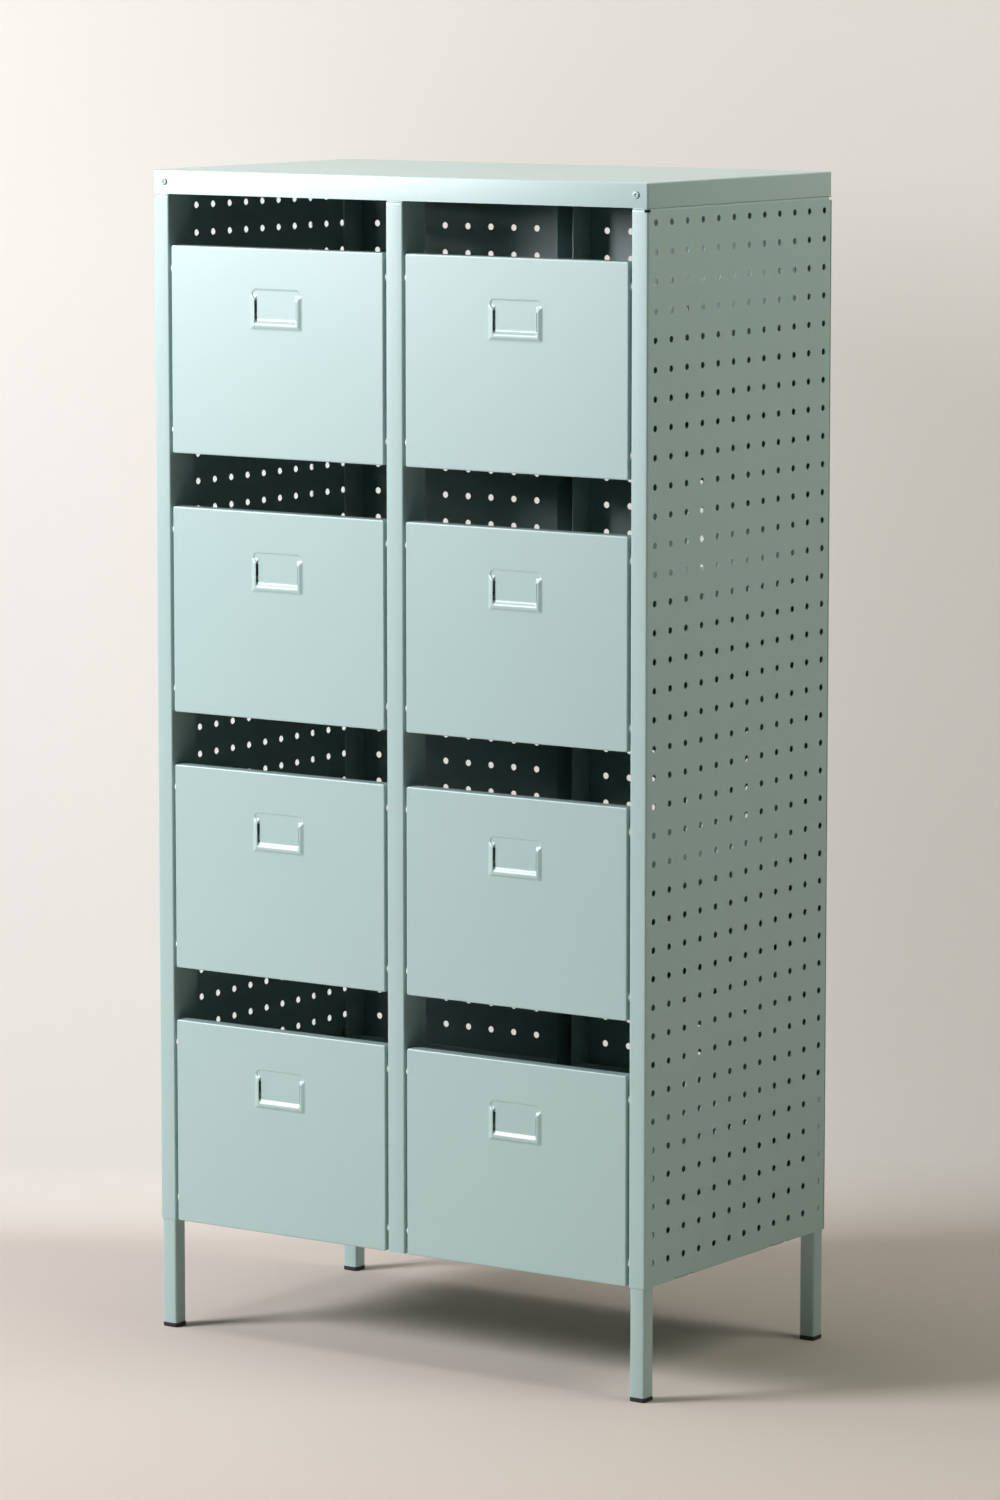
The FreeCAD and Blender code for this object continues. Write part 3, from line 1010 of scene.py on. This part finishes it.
    def base_plate(self) -> Skin:
        """Bottom plate, notched round the channels and posts, with a flange behind and tabs at its sides.

        Returns:
            The plate with its four tabs.
        """
        s, seat = self.sizes, self.seat
        low, high = node_box("base_plate")
        half = float(high[0])
        plate_low = self.foot + s.sheet + s.seam
        front, rear = float(low[1]), float(high[1])
        section = bent([(front, plate_low), (rear, plate_low), (rear, float(high[2]))], s.bend, s.sheet)
        channel = self.channel_inner - s.seam
        post = float(node_box("front_centre_post")[1][0]) + s.seam
        front_notch = (0.0, self.front + s.front_return + s.seam - front)
        rear_notch = (self.body_rear - s.rear_return - s.seam - front, float(section.along[-1]))
        cutouts = [(*notch, *span) for notch in (front_notch, rear_notch)
                   for span in ((-half, -channel), (-post, post), (channel, half))]
        reliefs = [(y - front, y + seat.slot_length - front) for y in self.slot_starts()]
        cutouts += [(*relief, *span) for relief in reliefs
                    for span in ((-half, seat.relief - half), (half - seat.relief, half))]
        blank = Blank(section.along, np.array([-half, half]), cutouts=cutouts)
        plate = folded(blank, constant(section), Plane.SIDE, s.sheet)

        top = plate_low + s.sheet
        tab_path = [(half, plate_low - seat.tab_drop), (half, top), (half - seat.relief, top)]
        tab_section = bent(tab_path, seat.tab_bend, s.sheet)
        tabs = []
        for slot in self.slot_starts():
            start = slot + (seat.slot_length - seat.tab_length) / 2
            blank = Blank(tab_section.along, np.array([start, start + seat.tab_length]))
            tab = folded(blank, constant(tab_section), Plane.FACE, s.sheet)
            tabs += [tab, tab.mirrored()]
        return joined([plate] + tabs)

    def front_post(self) -> Skin:
        """Folds the front centre post: a channel open to the rear, set in under the skirt as the sides are.

        Returns:
            The post, with a small hole through each flank.
        """
        s = self.sizes
        half = float(node_box("front_centre_post")[1][0])
        back = self.front + s.front_return

        def path(inset: float) -> list[tuple[float, float]]:
            """Corners of the section with its face set in."""
            face = self.front + inset
            return [(-half, back), (-half, face), (half, face), (half, back)]

        lower, section = self.set_in(path)
        hole_y = self.front + s.post_hole_inset
        hole_across = np.array([self.where(lower, x, hole_y) for x in (-half, half)])
        holes = self.grid(hole_across, np.array([self.skirt_foot - s.post_hole_drop]), s.post_hole_radius)
        blank = Blank(lower.along, self.heights(), holes, tile=2 * s.post_hole_radius)
        return folded(blank, section, Plane.PLAN, s.sheet)

    def rear_post(self) -> Skin:
        """Folds the rear centre post: a channel open to the front, with its back against the back sheet.

        Returns:
            The post.
        """
        s = self.sizes
        low, high = node_box("rear_centre_post")
        path = [(high[0], low[1]), (high[0], high[1]), (low[0], high[1]), (low[0], low[1])]
        section = bent(path, s.bend, s.sheet)
        return folded(Blank(section.along, np.array([low[2], high[2]])), constant(section), Plane.PLAN, s.sheet)


@dataclass
class Legs:
    """Square tube legs with moulded feet, one at each corner."""

    shop: Workshop
    body: str = "cabinet"
    corner: float = 2.0
    wall: float = 1.0
    foot_corner: float = 2.2
    foot_edge: float = 0.8
    foot_land: float = 4.0
    plug_wall: float = 1.8
    plug_gap: float = 0.1
    plug_edge: float = 0.4

    def build(self) -> None:
        """Makes the four legs and the four feet."""
        for end in ("front", "rear"):
            for side in Side:
                name = f"{end}_{side.name.lower()}"
                self.shop.make(f"{name}_leg", self.leg(f"{name}_leg"), self.body, Slot.POWDER_COAT)
                self.shop.make(f"{name}_foot", self.foot(name), self.body, Slot.FOOT)

    def leg(self, node: str) -> Skin:
        """Carries a straight wall round a rounded square.

        Args:
            node: Name of the leg in the frame.

        Returns:
            The tube.
        """
        low, high = node_box(node)
        middle = (low + high) / 2
        outline = Outline(tuple((high - low)[:2] / 2), self.corner)
        height = float(high[2] - low[2])
        wall = Section(np.array([0.0, height]), np.array([[0.0, 0.0], [0.0, height]]),
                       np.array([[1.0, 0.0], [1.0, 0.0]]))
        return carried(outline, wall).thickened(self.wall).placed(UPRIGHT, (middle[0], middle[1], low[2]))

    def foot(self, name: str) -> Skin:
        """Carries the outline of a cap with a hollow plug round a rounded square.

        Args:
            name: End and side of the leg.

        Returns:
            The foot.
        """
        low, high = node_box(f"{name}_foot")
        leg_low, leg_high = node_box(f"{name}_leg")
        middle = (low + high) / 2
        cap, top = float(leg_low[2]), float(high[2])
        plug = -float(leg_low[0] - low[0]) - self.wall - self.plug_gap
        hollow = plug - self.plug_wall
        outline = Outline(tuple((high - low)[:2] / 2), self.foot_corner)
        profile = bent(
            [(-self.foot_land, 0.0), (0.0, 0.0), (0.0, cap), (plug, cap), (plug, top), (hollow, top),
             (hollow, cap)],
            [self.foot_edge, self.plug_edge, 0.0, self.plug_edge, 0.0], 0.0, steps=4)
        skin = carried(outline, profile, start_closed=True, end_closed=True)
        return skin.placed(UPRIGHT, (middle[0], middle[1], 0.0))


@dataclass(frozen=True)
class LabelForm:
    """Label holder pressed in a drawer front: a recess for the card, two side lips and a ridge below.

    Places are given from the middle of the front and down from its top edge.
    """

    half_width: float = 28.6
    foot: float = 71.9
    lip_slope: float = 4.6
    lip_edge: float = 23.0
    card_edge: float = 21.3
    card_margin: float = 1.5
    mouth: float = 0.8
    lip_top: float = 41.4
    lip_end: float = 4.4
    slot_top: float = 46.4
    slot_foot: float = 63.0
    ridge_slope: float = 2.8
    ridge_inner: float = 63.0
    ridge_rise: float = 4.6
    height: float = 1.35
    recess: float = 0.5
    recess_top: float = 36.4
    recess_half: float = 26.6
    recess_corner: float = 4.0
    recess_slope: float = 0.9
    margin: float = 1.2

    def raised(self, across: Array, down: Array) -> Array:
        """Height of the pressed sheet over the face.

        The lips and the ridge are the least of three ramps inwards from their outer edges, times a mask that is
        1 outside the card's edge or below the ridge's inner slope. The recess is a ramp in from its own outline,
        a rounded top that narrows to the card's width at the lips.

        Args:
            across: Distances from the middle of the front.
            down: Distances below its top edge.

        Returns:
            Heights, below 0 in the recess.
        """
        side = np.abs(across)
        outer = np.minimum.reduce([
            ramp(self.half_width - side, self.lip_slope),
            ramp(self.foot - down, self.ridge_slope),
            ramp(down - self.lip_top, self.lip_end),
        ])
        lips = ramp(side - self.card_edge, self.lip_edge - self.card_edge)
        ridge = ramp(down - self.ridge_inner, self.ridge_rise)
        corner_across = np.maximum(side - (self.recess_half - self.recess_corner), 0.0)
        corner_down = np.maximum(self.recess_top + self.recess_corner - down, 0.0)
        in_corner = self.recess_corner - np.hypot(corner_across, corner_down)
        narrow = self.card_edge + self.mouth
        half = np.interp(down, [self.lip_top, self.slot_top], [self.recess_half, narrow])
        inside = np.minimum(in_corner, half - side)
        recess = ramp(inside, self.recess_slope) * (1 - ramp(down - self.ridge_inner, self.ridge_rise))
        return self.height * np.minimum(outer, np.maximum(lips, ridge)) - self.recess * recess

    def lines(self) -> tuple[Array, Array]:
        """Lines across and down that the form needs.

        Returns:
            Places from the middle, and distances below the top edge.
        """
        side = np.concatenate([
            np.linspace(self.card_edge - self.card_margin, self.card_edge, 4),
            np.linspace(self.card_edge, self.lip_edge, 5),
            np.linspace(self.lip_edge, self.half_width, 12),
            [self.half_width + self.margin],
        ])
        middle = np.linspace(0.0, self.card_edge - self.card_margin, 6)
        across = np.unique(np.round(np.concatenate([-side, -middle, middle, side]), 3))
        down = np.unique(np.round(np.concatenate([
            [self.recess_top - self.margin],
            np.linspace(self.recess_top, self.recess_top + self.recess_corner, 11),
            np.linspace(self.lip_top, self.slot_top, 10),
            np.linspace(self.slot_top, self.slot_foot, 12),
            np.linspace(self.slot_foot, self.foot, 16),
            [self.foot + self.margin],
        ]), 3))
        return across, down


@dataclass
class Drawers:
    """Drawer fronts with their boxes and glide buttons, four in each column."""

    shop: Workshop
    sizes: SheetSizes
    rows: int = 4
    label: LabelForm = field(default_factory=LabelForm)
    edge: float = 1.2
    edge_land: float = 0.6
    corner: float = 2.0
    slope_reach: float = 0.05
    slot_margin: float = 0.1
    box_corner: float = 3.0
    box_land: float = 0.3
    hem: float = 6.0
    box_setback: float = 0.45
    glide_radius: float = 4.2
    glide_inset: float = 21.0
    glide_edge: float = 0.9
    glide_foot_edge: float = 0.3
    glide_foot_land: float = 1.0
    glide_tip: float = 0.6

    def build(self) -> None:
        """Makes the three pieces of every drawer."""
        for side in Side:
            for number in range(1, self.rows + 1):
                name = f"{side.name.lower()}_{number}"
                body = f"drawer_{name}"
                self.shop.make(f"drawer_front_{name}", self.front(name), body, Slot.POWDER_COAT)
                self.shop.make(f"drawer_box_{name}", self.box(name), body, Slot.POWDER_COAT)
                self.shop.make(f"drawer_glides_{name}", self.glides(name), body, Slot.GLIDE)

    def front(self, name: str) -> Skin:
        """Drawer front: a shallow pan with rounded edges, and the label holder as a grid in its face.

        Between the pan's last ring and the grid's border lie four flat polygons, one for each side.

        Args:
            name: Side and number of the drawer.

        Returns:
            The front.
        """
        low, high = node_box(f"drawer_front_{name}")
        face = -float(node_box("top_cap")[0][1])
        middle = (low + high) / 2
        half_width, half_height = float(high[0] - low[0]) / 2, float(high[2] - low[2]) / 2
        depth = float(high[1]) + face
        outline = Outline((half_width, half_height), self.corner, steps=6)
        profile = bent([(0.0, -depth), (0.0, 0.0), (-self.edge - self.edge_land, 0.0)],
                       self.edge, self.sizes.sheet)
        pan = carried(outline, profile)

        label = self.label
        across, down = label.lines()
        slots = [
            (*sorted((sign * label.card_edge, sign * label.lip_edge)),
             half_height - label.slot_foot, half_height - label.slot_top)
            for sign in (-1, 1)
        ]
        places, quads = Blank(across, half_height - down, cutouts=slots).flat()
        height = label.raised(places[:, 0], half_height - places[:, 1])
        grid = Skin(np.column_stack([places, height]), self.facing(places, half_height), quads)

        count = len(pan.points)
        ring = np.arange(count - len(outline.directions()[0]), count)
        whole = joined([pan, grid])
        whole.polygons = self.bridges(ring, [side + count for side in self.border(places)])
        return whole.thickened(self.sizes.sheet).placed(FACING_FRONT, (middle[0], -face, middle[2]))

    def facing(self, places: Array, half_height: float) -> Array:
        """Works out the pressed sheet's normals: each is (-dh/dx, -dh/dz, 1) made a unit, from small differences.

        Beside the slots the sheet is cut, so there it faces straight forwards.

        Args:
            places: Places across and up from the middle of the front.
            half_height: Half the front's height.

        Returns:
            The normals.
        """
        label, reach, margin = self.label, self.slope_reach, self.slot_margin
        x, z = places[:, 0], half_height - places[:, 1]
        slope_x = (label.raised(x + reach, z) - label.raised(x - reach, z)) / (2 * reach)
        slope_z = (label.raised(x, z - reach) - label.raised(x, z + reach)) / (2 * reach)
        normals = unit(np.column_stack([-slope_x, -slope_z, np.ones(len(x))]))
        cut = (np.abs(x) > label.card_edge - margin) & (np.abs(x) < label.lip_edge + margin)
        normals[cut & (z > label.slot_top - margin) & (z < label.slot_foot + margin)] = (0.0, 0.0, 1.0)
        return normals

    def border(self, places: Array) -> list[Indices]:
        """Finds the points along the four sides of the label's grid.

        Args:
            places: Places of the grid's points.

        Returns:
            Their numbers on the right, top, left and bottom side, anticlockwise.
        """
        low, high = places.min(0), places.max(0)
        on = [np.isclose(places[:, axis], edge) for axis, edge in
              ((0, high[0]), (1, high[1]), (0, low[0]), (1, low[1]))]
        order = [places[:, 1], -places[:, 0], -places[:, 1], places[:, 0]]
        return [np.flatnonzero(mask)[np.argsort(key[mask])] for mask, key in zip(on, order)]

    def bridges(self, ring: Indices, border: list[Indices]) -> list[Indices]:
        """Joins a ring with four rounded corners to the four sides of a grid by flat polygons.

        Args:
            ring: Point numbers of the ring, in four groups, one for each corner.
            border: Point numbers along the right, top, left and bottom side of the grid.

        Returns:
            Four polygons, anticlockwise.
        """
        corners = ring.reshape(4, -1)
        half = corners.shape[1] // 2
        polygons = []
        for side, inner in enumerate(border):
            before, after = corners[side - 1], corners[side]
            polygons.append(np.concatenate([before[half:], after[:half + 1], inner[::-1]]))
        return polygons

    def box(self, name: str) -> Skin:
        """Drawer box: its profile runs down the doubled hem, up the wall's outside and in under the bottom.

        Args:
            name: Side and number of the drawer.

        Returns:
            The box.
        """
        sheet = self.sizes.sheet
        low, high = node_box(f"drawer_box_{name}")
        low[1] += self.box_setback
        middle = (low + high) / 2
        size = high - low
        outline = Outline((size[0] / 2, size[1] / 2), self.box_corner)
        doubled = 2 * sheet + self.sizes.seam
        height = float(size[2])
        turn = doubled / 2
        profile = bent(
            [(-doubled, self.hem - height), (-doubled, -height), (0.0, -height), (0.0, 0.0),
             (-self.sizes.bend - self.box_land, 0.0)],
            [turn, turn, self.sizes.bend], sheet)
        box = carried(outline, profile, end_closed=True).thickened(sheet)
        return box.placed(TURNED_DOWN, (middle[0], middle[1], low[2]))

    def glides(self, name: str) -> Skin:
        """Glide buttons: a domed disc at each corner of the front, standing out of its side.

        Args:
            name: Side and number of the drawer.

        Returns:
            The four buttons.
        """
        low, high = node_box(f"drawer_glides_{name}")
        front_low, front_high = node_box(f"drawer_front_{name}")
        length, radius = float(front_low[0] - low[0]), self.glide_radius
        y = float(low[1] + high[1]) / 2
        profile = bent(
            [(-self.glide_foot_land, 0.0), (0.0, 0.0), (0.0, length), (self.glide_tip - radius, length)],
            [self.glide_foot_edge, self.glide_edge], 0.0, steps=4)
        outline = Outline((radius, radius), radius, steps=6)
        button = carried(outline, profile, start_closed=True, end_closed=True)
        buttons = []
        for z in (front_low[2] + self.glide_inset, front_high[2] - self.glide_inset):
            buttons.append(button.placed(FACING_LEFT, (front_low[0], y, z)))
            buttons.append(button.placed(FACING_RIGHT, (front_high[0], y, z)))
        return joined(buttons)


@dataclass
class Runners:
    """Angle runners under the drawer boxes, an inner and an outer one for each drawer."""

    shop: Workshop
    rows: int = 4
    sheet: float = 1.2
    body: str = "cabinet"

    def build(self) -> None:
        """Makes the sixteen runners."""
        for side in Side:
            for number in range(1, self.rows + 1):
                for place, way in (("inner", side.value), ("outer", -side.value)):
                    node = f"runner_{place}_{side.name.lower()}_{number}"
                    self.shop.make(node, self.runner(node, way), self.body, Slot.POWDER_COAT)

    def runner(self, node: str, way: int) -> Skin:
        """Folds an angle whose shelf points one way.

        Args:
            node: Name of the runner in the frame.
            way: Sign of x in which the shelf points.

        Returns:
            The runner.
        """
        low, high = node_box(node)
        wall, shelf = (low[0], high[0]) if way > 0 else (high[0], low[0])
        path = [(wall, high[2]), (wall, low[2]), (shelf, low[2])]
        if way < 0:
            path = path[::-1]
        section = bent(path, 2 * self.sheet, self.sheet)
        blank = Blank(section.along, np.array([low[1], high[1]]))
        return folded(blank, constant(section), Plane.FACE, self.sheet)


@dataclass
class Screws:
    """Pan-head screws with a cross recess, through the top's skirt and the back sheet."""

    shop: Workshop
    carcass: Carcass
    head_radius: float = 3.2
    head_height: float = 1.2
    shank_radius: float = 1.6
    length: float = 7.0
    recess_depth: float = 0.7
    recess_reach: float = 1.7
    recess_half: float = 0.45
    recess_slope: float = 0.2
    recess_end: float = 0.3
    ring_shares: tuple[float, ...] = (0.35, 0.45, 0.55, 0.65, 0.75, 0.85)
    head_edge: float = 0.9
    chamfer: float = 0.8
    cap_inset: float = 12.0
    cap_drop: float = 10.5
    body: str = "cabinet"

    def build(self) -> None:
        """Makes the screws of the top and of the back."""
        c = self.carcass
        x, z = c.half_width - self.cap_inset, c.top - self.cap_drop
        top = [self.screw().placed(FACING_FRONT, (side.value * x, c.front, z)) for side in Side]
        top += [self.screw().placed(FACING_REAR, (side.value * x, c.rear, z)) for side in Side]
        self.shop.make("cap_screws", joined(top), self.body, Slot.POWDER_COAT)
        across, heights = c.back_screws()
        back = [self.screw().placed(FACING_REAR, (x, c.rear, z)) for x in across for z in heights]
        self.shop.make("back_screws", joined(back), self.body, Slot.SCREW)

    def screw(self) -> Skin:
        """Carries the outline of shank and head round a circle, then presses the cross into the head.

        The cross is a ramp of depth where the smaller of |x| and |y| is under half an arm's width and the larger
        one is within its reach.

        Returns:
            A screw that points down, its seat at height 0.
        """
        shank = self.shank_radius - self.head_radius
        path = [(shank - self.chamfer, -self.length), (shank, self.chamfer - self.length), (shank, 0.0),
                (0.0, 0.0), (0.0, self.head_height)]
        path += [(-share * self.head_radius, self.head_height) for share in self.ring_shares]
        corners = [0.0, 0.0, 0.0, self.head_edge] + [0.0] * (len(self.ring_shares) - 1)
        profile = bent(path, corners, 0.0, steps=3)
        outline = Outline((self.head_radius, self.head_radius), self.head_radius, steps=8)
        screw = carried(outline, profile, start_closed=True, end_closed=True)
        x, y, z = screw.points.T
        narrow, wide = np.minimum(np.abs(x), np.abs(y)), np.maximum(np.abs(x), np.abs(y))
        cross = ramp(self.recess_half - narrow, self.recess_slope) * ramp(self.recess_reach - wide, self.recess_end)
        on_top = np.isclose(z, self.head_height)
        screw.points[:, 2] = np.where(on_top, z - self.recess_depth * cross, z)
        return screw


@dataclass(frozen=True)
class Lamp:
    """Square lamp: where it hangs and the point that it faces, in metres, and its power in watts."""

    name: str
    place: tuple[float, float, float]
    aim: tuple[float, float, float]
    size: float
    power: float
    colour: tuple[float, float, float]

    def hang(self) -> None:
        """Adds the lamp to the scene, turned to face its point."""
        lamp = bpy.data.lights.new(self.name, "AREA")
        lamp.energy = self.power
        lamp.color = self.colour
        lamp.size = self.size
        holder = bpy.data.objects.new(self.name, lamp)
        bpy.context.scene.collection.objects.link(holder)
        away = np.array(self.place) - np.array(self.aim)
        flat = math.hypot(away[0], away[1])
        holder.location = self.place
        holder.rotation_euler = (math.atan2(flat, away[2]), 0.0, math.atan2(away[0], -away[1]))


@dataclass
class Studio:
    """Plain floor and backdrop, the camera, and a key lamp to the left, a warmer one to the right and one above."""

    focal: float = 6032.1
    picture_height: float = 1500.0
    sensor: float = 36.0
    yaw: float = 34.251
    pitch: float = -7.743
    place: tuple[float, float, float] = (3.03678, -4.44594, 1.26782)
    floor_colour: tuple[float, float, float, float] = (0.585, 0.52, 0.475, 1.0)
    wall_colour: tuple[float, float, float, float] = (0.86, 0.82, 0.785, 1.0)
    wall_glow: float = 0.36
    wall_unseen: tuple[float, float, float, float] = (0.22, 0.21, 0.20, 1.0)
    paper_roughness: float = 0.85
    paper_sheen: float = 0.2
    wall_distance: float = 0.45
    sweep_radius: float = 0.07
    extent: float = 9.0
    sky: float = 0.025
    sky_colour: tuple[float, float, float, float] = (1.0, 0.97, 0.94, 1.0)
    lamps: tuple[Lamp, ...] = (
        Lamp("key", (-1.65, -1.85, 1.58), (0.0, -0.15, 0.95), 0.9, 89.0, (1.0, 1.0, 1.035)),
        Lamp("fill", (2.0, 0.3, 2.4), (0.26, 0.0, 0.95), 1.4, 27.0, (0.91, 0.95, 0.80)),
        Lamp("top_light", (-0.5, 0.2, 3.1), (-0.2, 0.0, 1.0), 1.6, 60.0, (1.0, 0.955, 0.94)),
    )

    def build(self) -> None:
        """Makes everything that isn't part of the object."""
        self.world()
        for lamp in self.lamps:
            lamp.hang()
        self.backdrop()
        self.camera()

    def world(self) -> None:
        """Sets an even, faint sky."""
        world = bpy.data.worlds.new("studio")
        bpy.context.scene.world = world
        world.use_nodes = True
        background = world.node_tree.nodes["Background"]
        background.inputs["Color"].default_value = self.sky_colour
        background.inputs["Strength"].default_value = self.sky

    def backdrop(self) -> None:
        """Makes the floor and a wall behind in one sheet, joined by a quarter circle.

        The wall lies square to the camera's heading, and nothing shows of it from behind.
        """
        heading = math.radians(self.yaw)
        along = np.array([math.cos(heading), math.sin(heading), 0.0])
        back = np.array([-math.sin(heading), math.cos(heading), 0.0])
        angle = np.linspace(0, math.pi / 2, 13)
        foot = self.wall_distance - self.sweep_radius
        depth = np.concatenate([[-self.extent], foot + self.sweep_radius * np.sin(angle), [self.wall_distance]])
        height = np.concatenate([[0.0], self.sweep_radius * (1 - np.cos(angle)), [self.extent / 2]])
        line = depth[:, None] * back + height[:, None] * np.array([0.0, 0.0, 1.0])
        points = np.concatenate([line - self.extent * along, line + self.extent * along])
        count = len(line)
        first = np.arange(count - 1)
        faces = np.stack([first, first + count, first + count + 1, first + 1], axis=-1)
        mesh = bpy.data.meshes.new("backdrop_shape")
        mesh.from_pydata(points.tolist(), [], faces.tolist())
        mesh.shade_smooth()
        mesh.materials.append(self.paper())
        sheet = bpy.data.objects.new("backdrop", mesh)
        bpy.context.scene.collection.objects.link(sheet)

    def paper(self) -> bpy.types.Material:
        """Matt plaster, a little darker on the floor, clear when seen from behind.

        For camera, glossy and transmission rays the wall is pale and glows in part, so that it is bright in the
        picture and in the paint's gloss. For all other rays it is dark, and lights nothing inside the cabinet.
        The floor only reflects, and keeps the shadow.

        Returns:
            The material.
        """
        sheet = NodeSheet("paper")
        place = sheet.node("ShaderNodeSeparateXYZ", None, Vector=sheet.coordinates())
        reach = sheet.node("ShaderNodeMapRange", {"clamp": True}, Value=Value(sheet, place.outputs["Z"]),
                           From_Min=0.0, From_Max=self.sweep_radius)
        share = Value(sheet, reach.outputs[0])
        rays = sheet.node("ShaderNodeLightPath").outputs
        seen = Value(sheet, rays["Is Camera Ray"]) + Value(sheet, rays["Is Glossy Ray"])
        seen = (seen + Value(sheet, rays["Is Transmission Ray"])).clamped()
        wall = sheet.blended(seen, self.wall_unseen, self.wall_colour)
        matt = sheet.node("ShaderNodeBsdfPrincipled", None, Roughness=self.paper_roughness,
                          Specular_IOR_Level=self.paper_sheen,
                          Base_Color=sheet.blended(share, self.floor_colour, wall))
        glow = sheet.node("ShaderNodeEmission", None, Color=self.wall_colour, Strength=1.0)
        lit = sheet.node("ShaderNodeMixShader", None, _0=seen * share * self.wall_glow,
                         _1=matt.outputs[0], _2=glow.outputs[0])
        clear = sheet.node("ShaderNodeBsdfTransparent")
        behind = sheet.node("ShaderNodeNewGeometry").outputs["Backfacing"]
        mixed = sheet.node("ShaderNodeMixShader", None, _0=behind, _1=lit.outputs[0], _2=clear.outputs[0])
        sheet.node("ShaderNodeOutputMaterial", None, Surface=mixed.outputs[0])
        return sheet.material

    def camera(self) -> None:
        """Stands the camera at the photograph's angle."""
        data = bpy.data.cameras.new("camera")
        data.sensor_fit = "VERTICAL"
        data.sensor_height = self.sensor
        data.lens = self.sensor * self.focal / self.picture_height
        camera = bpy.data.objects.new("camera", data)
        bpy.context.scene.collection.objects.link(camera)
        camera.location = self.place
        camera.rotation_euler = (math.radians(90.0 + self.pitch), 0.0, math.radians(self.yaw))
        bpy.context.scene.camera = camera


def main() -> None:
    """Builds and dresses the cabinet, then lights it."""
    bpy.context.scene.view_settings.view_transform = "Standard"
    shop = Workshop()
    sizes = SheetSizes()
    carcass = Carcass(shop, sizes, SeatSizes())
    carcass.build()
    Legs(shop).build()
    Runners(shop).build()
    Drawers(shop, sizes).build()
    Screws(shop, carcass).build()
    Studio().build()


if __name__ == "__main__":
    main()
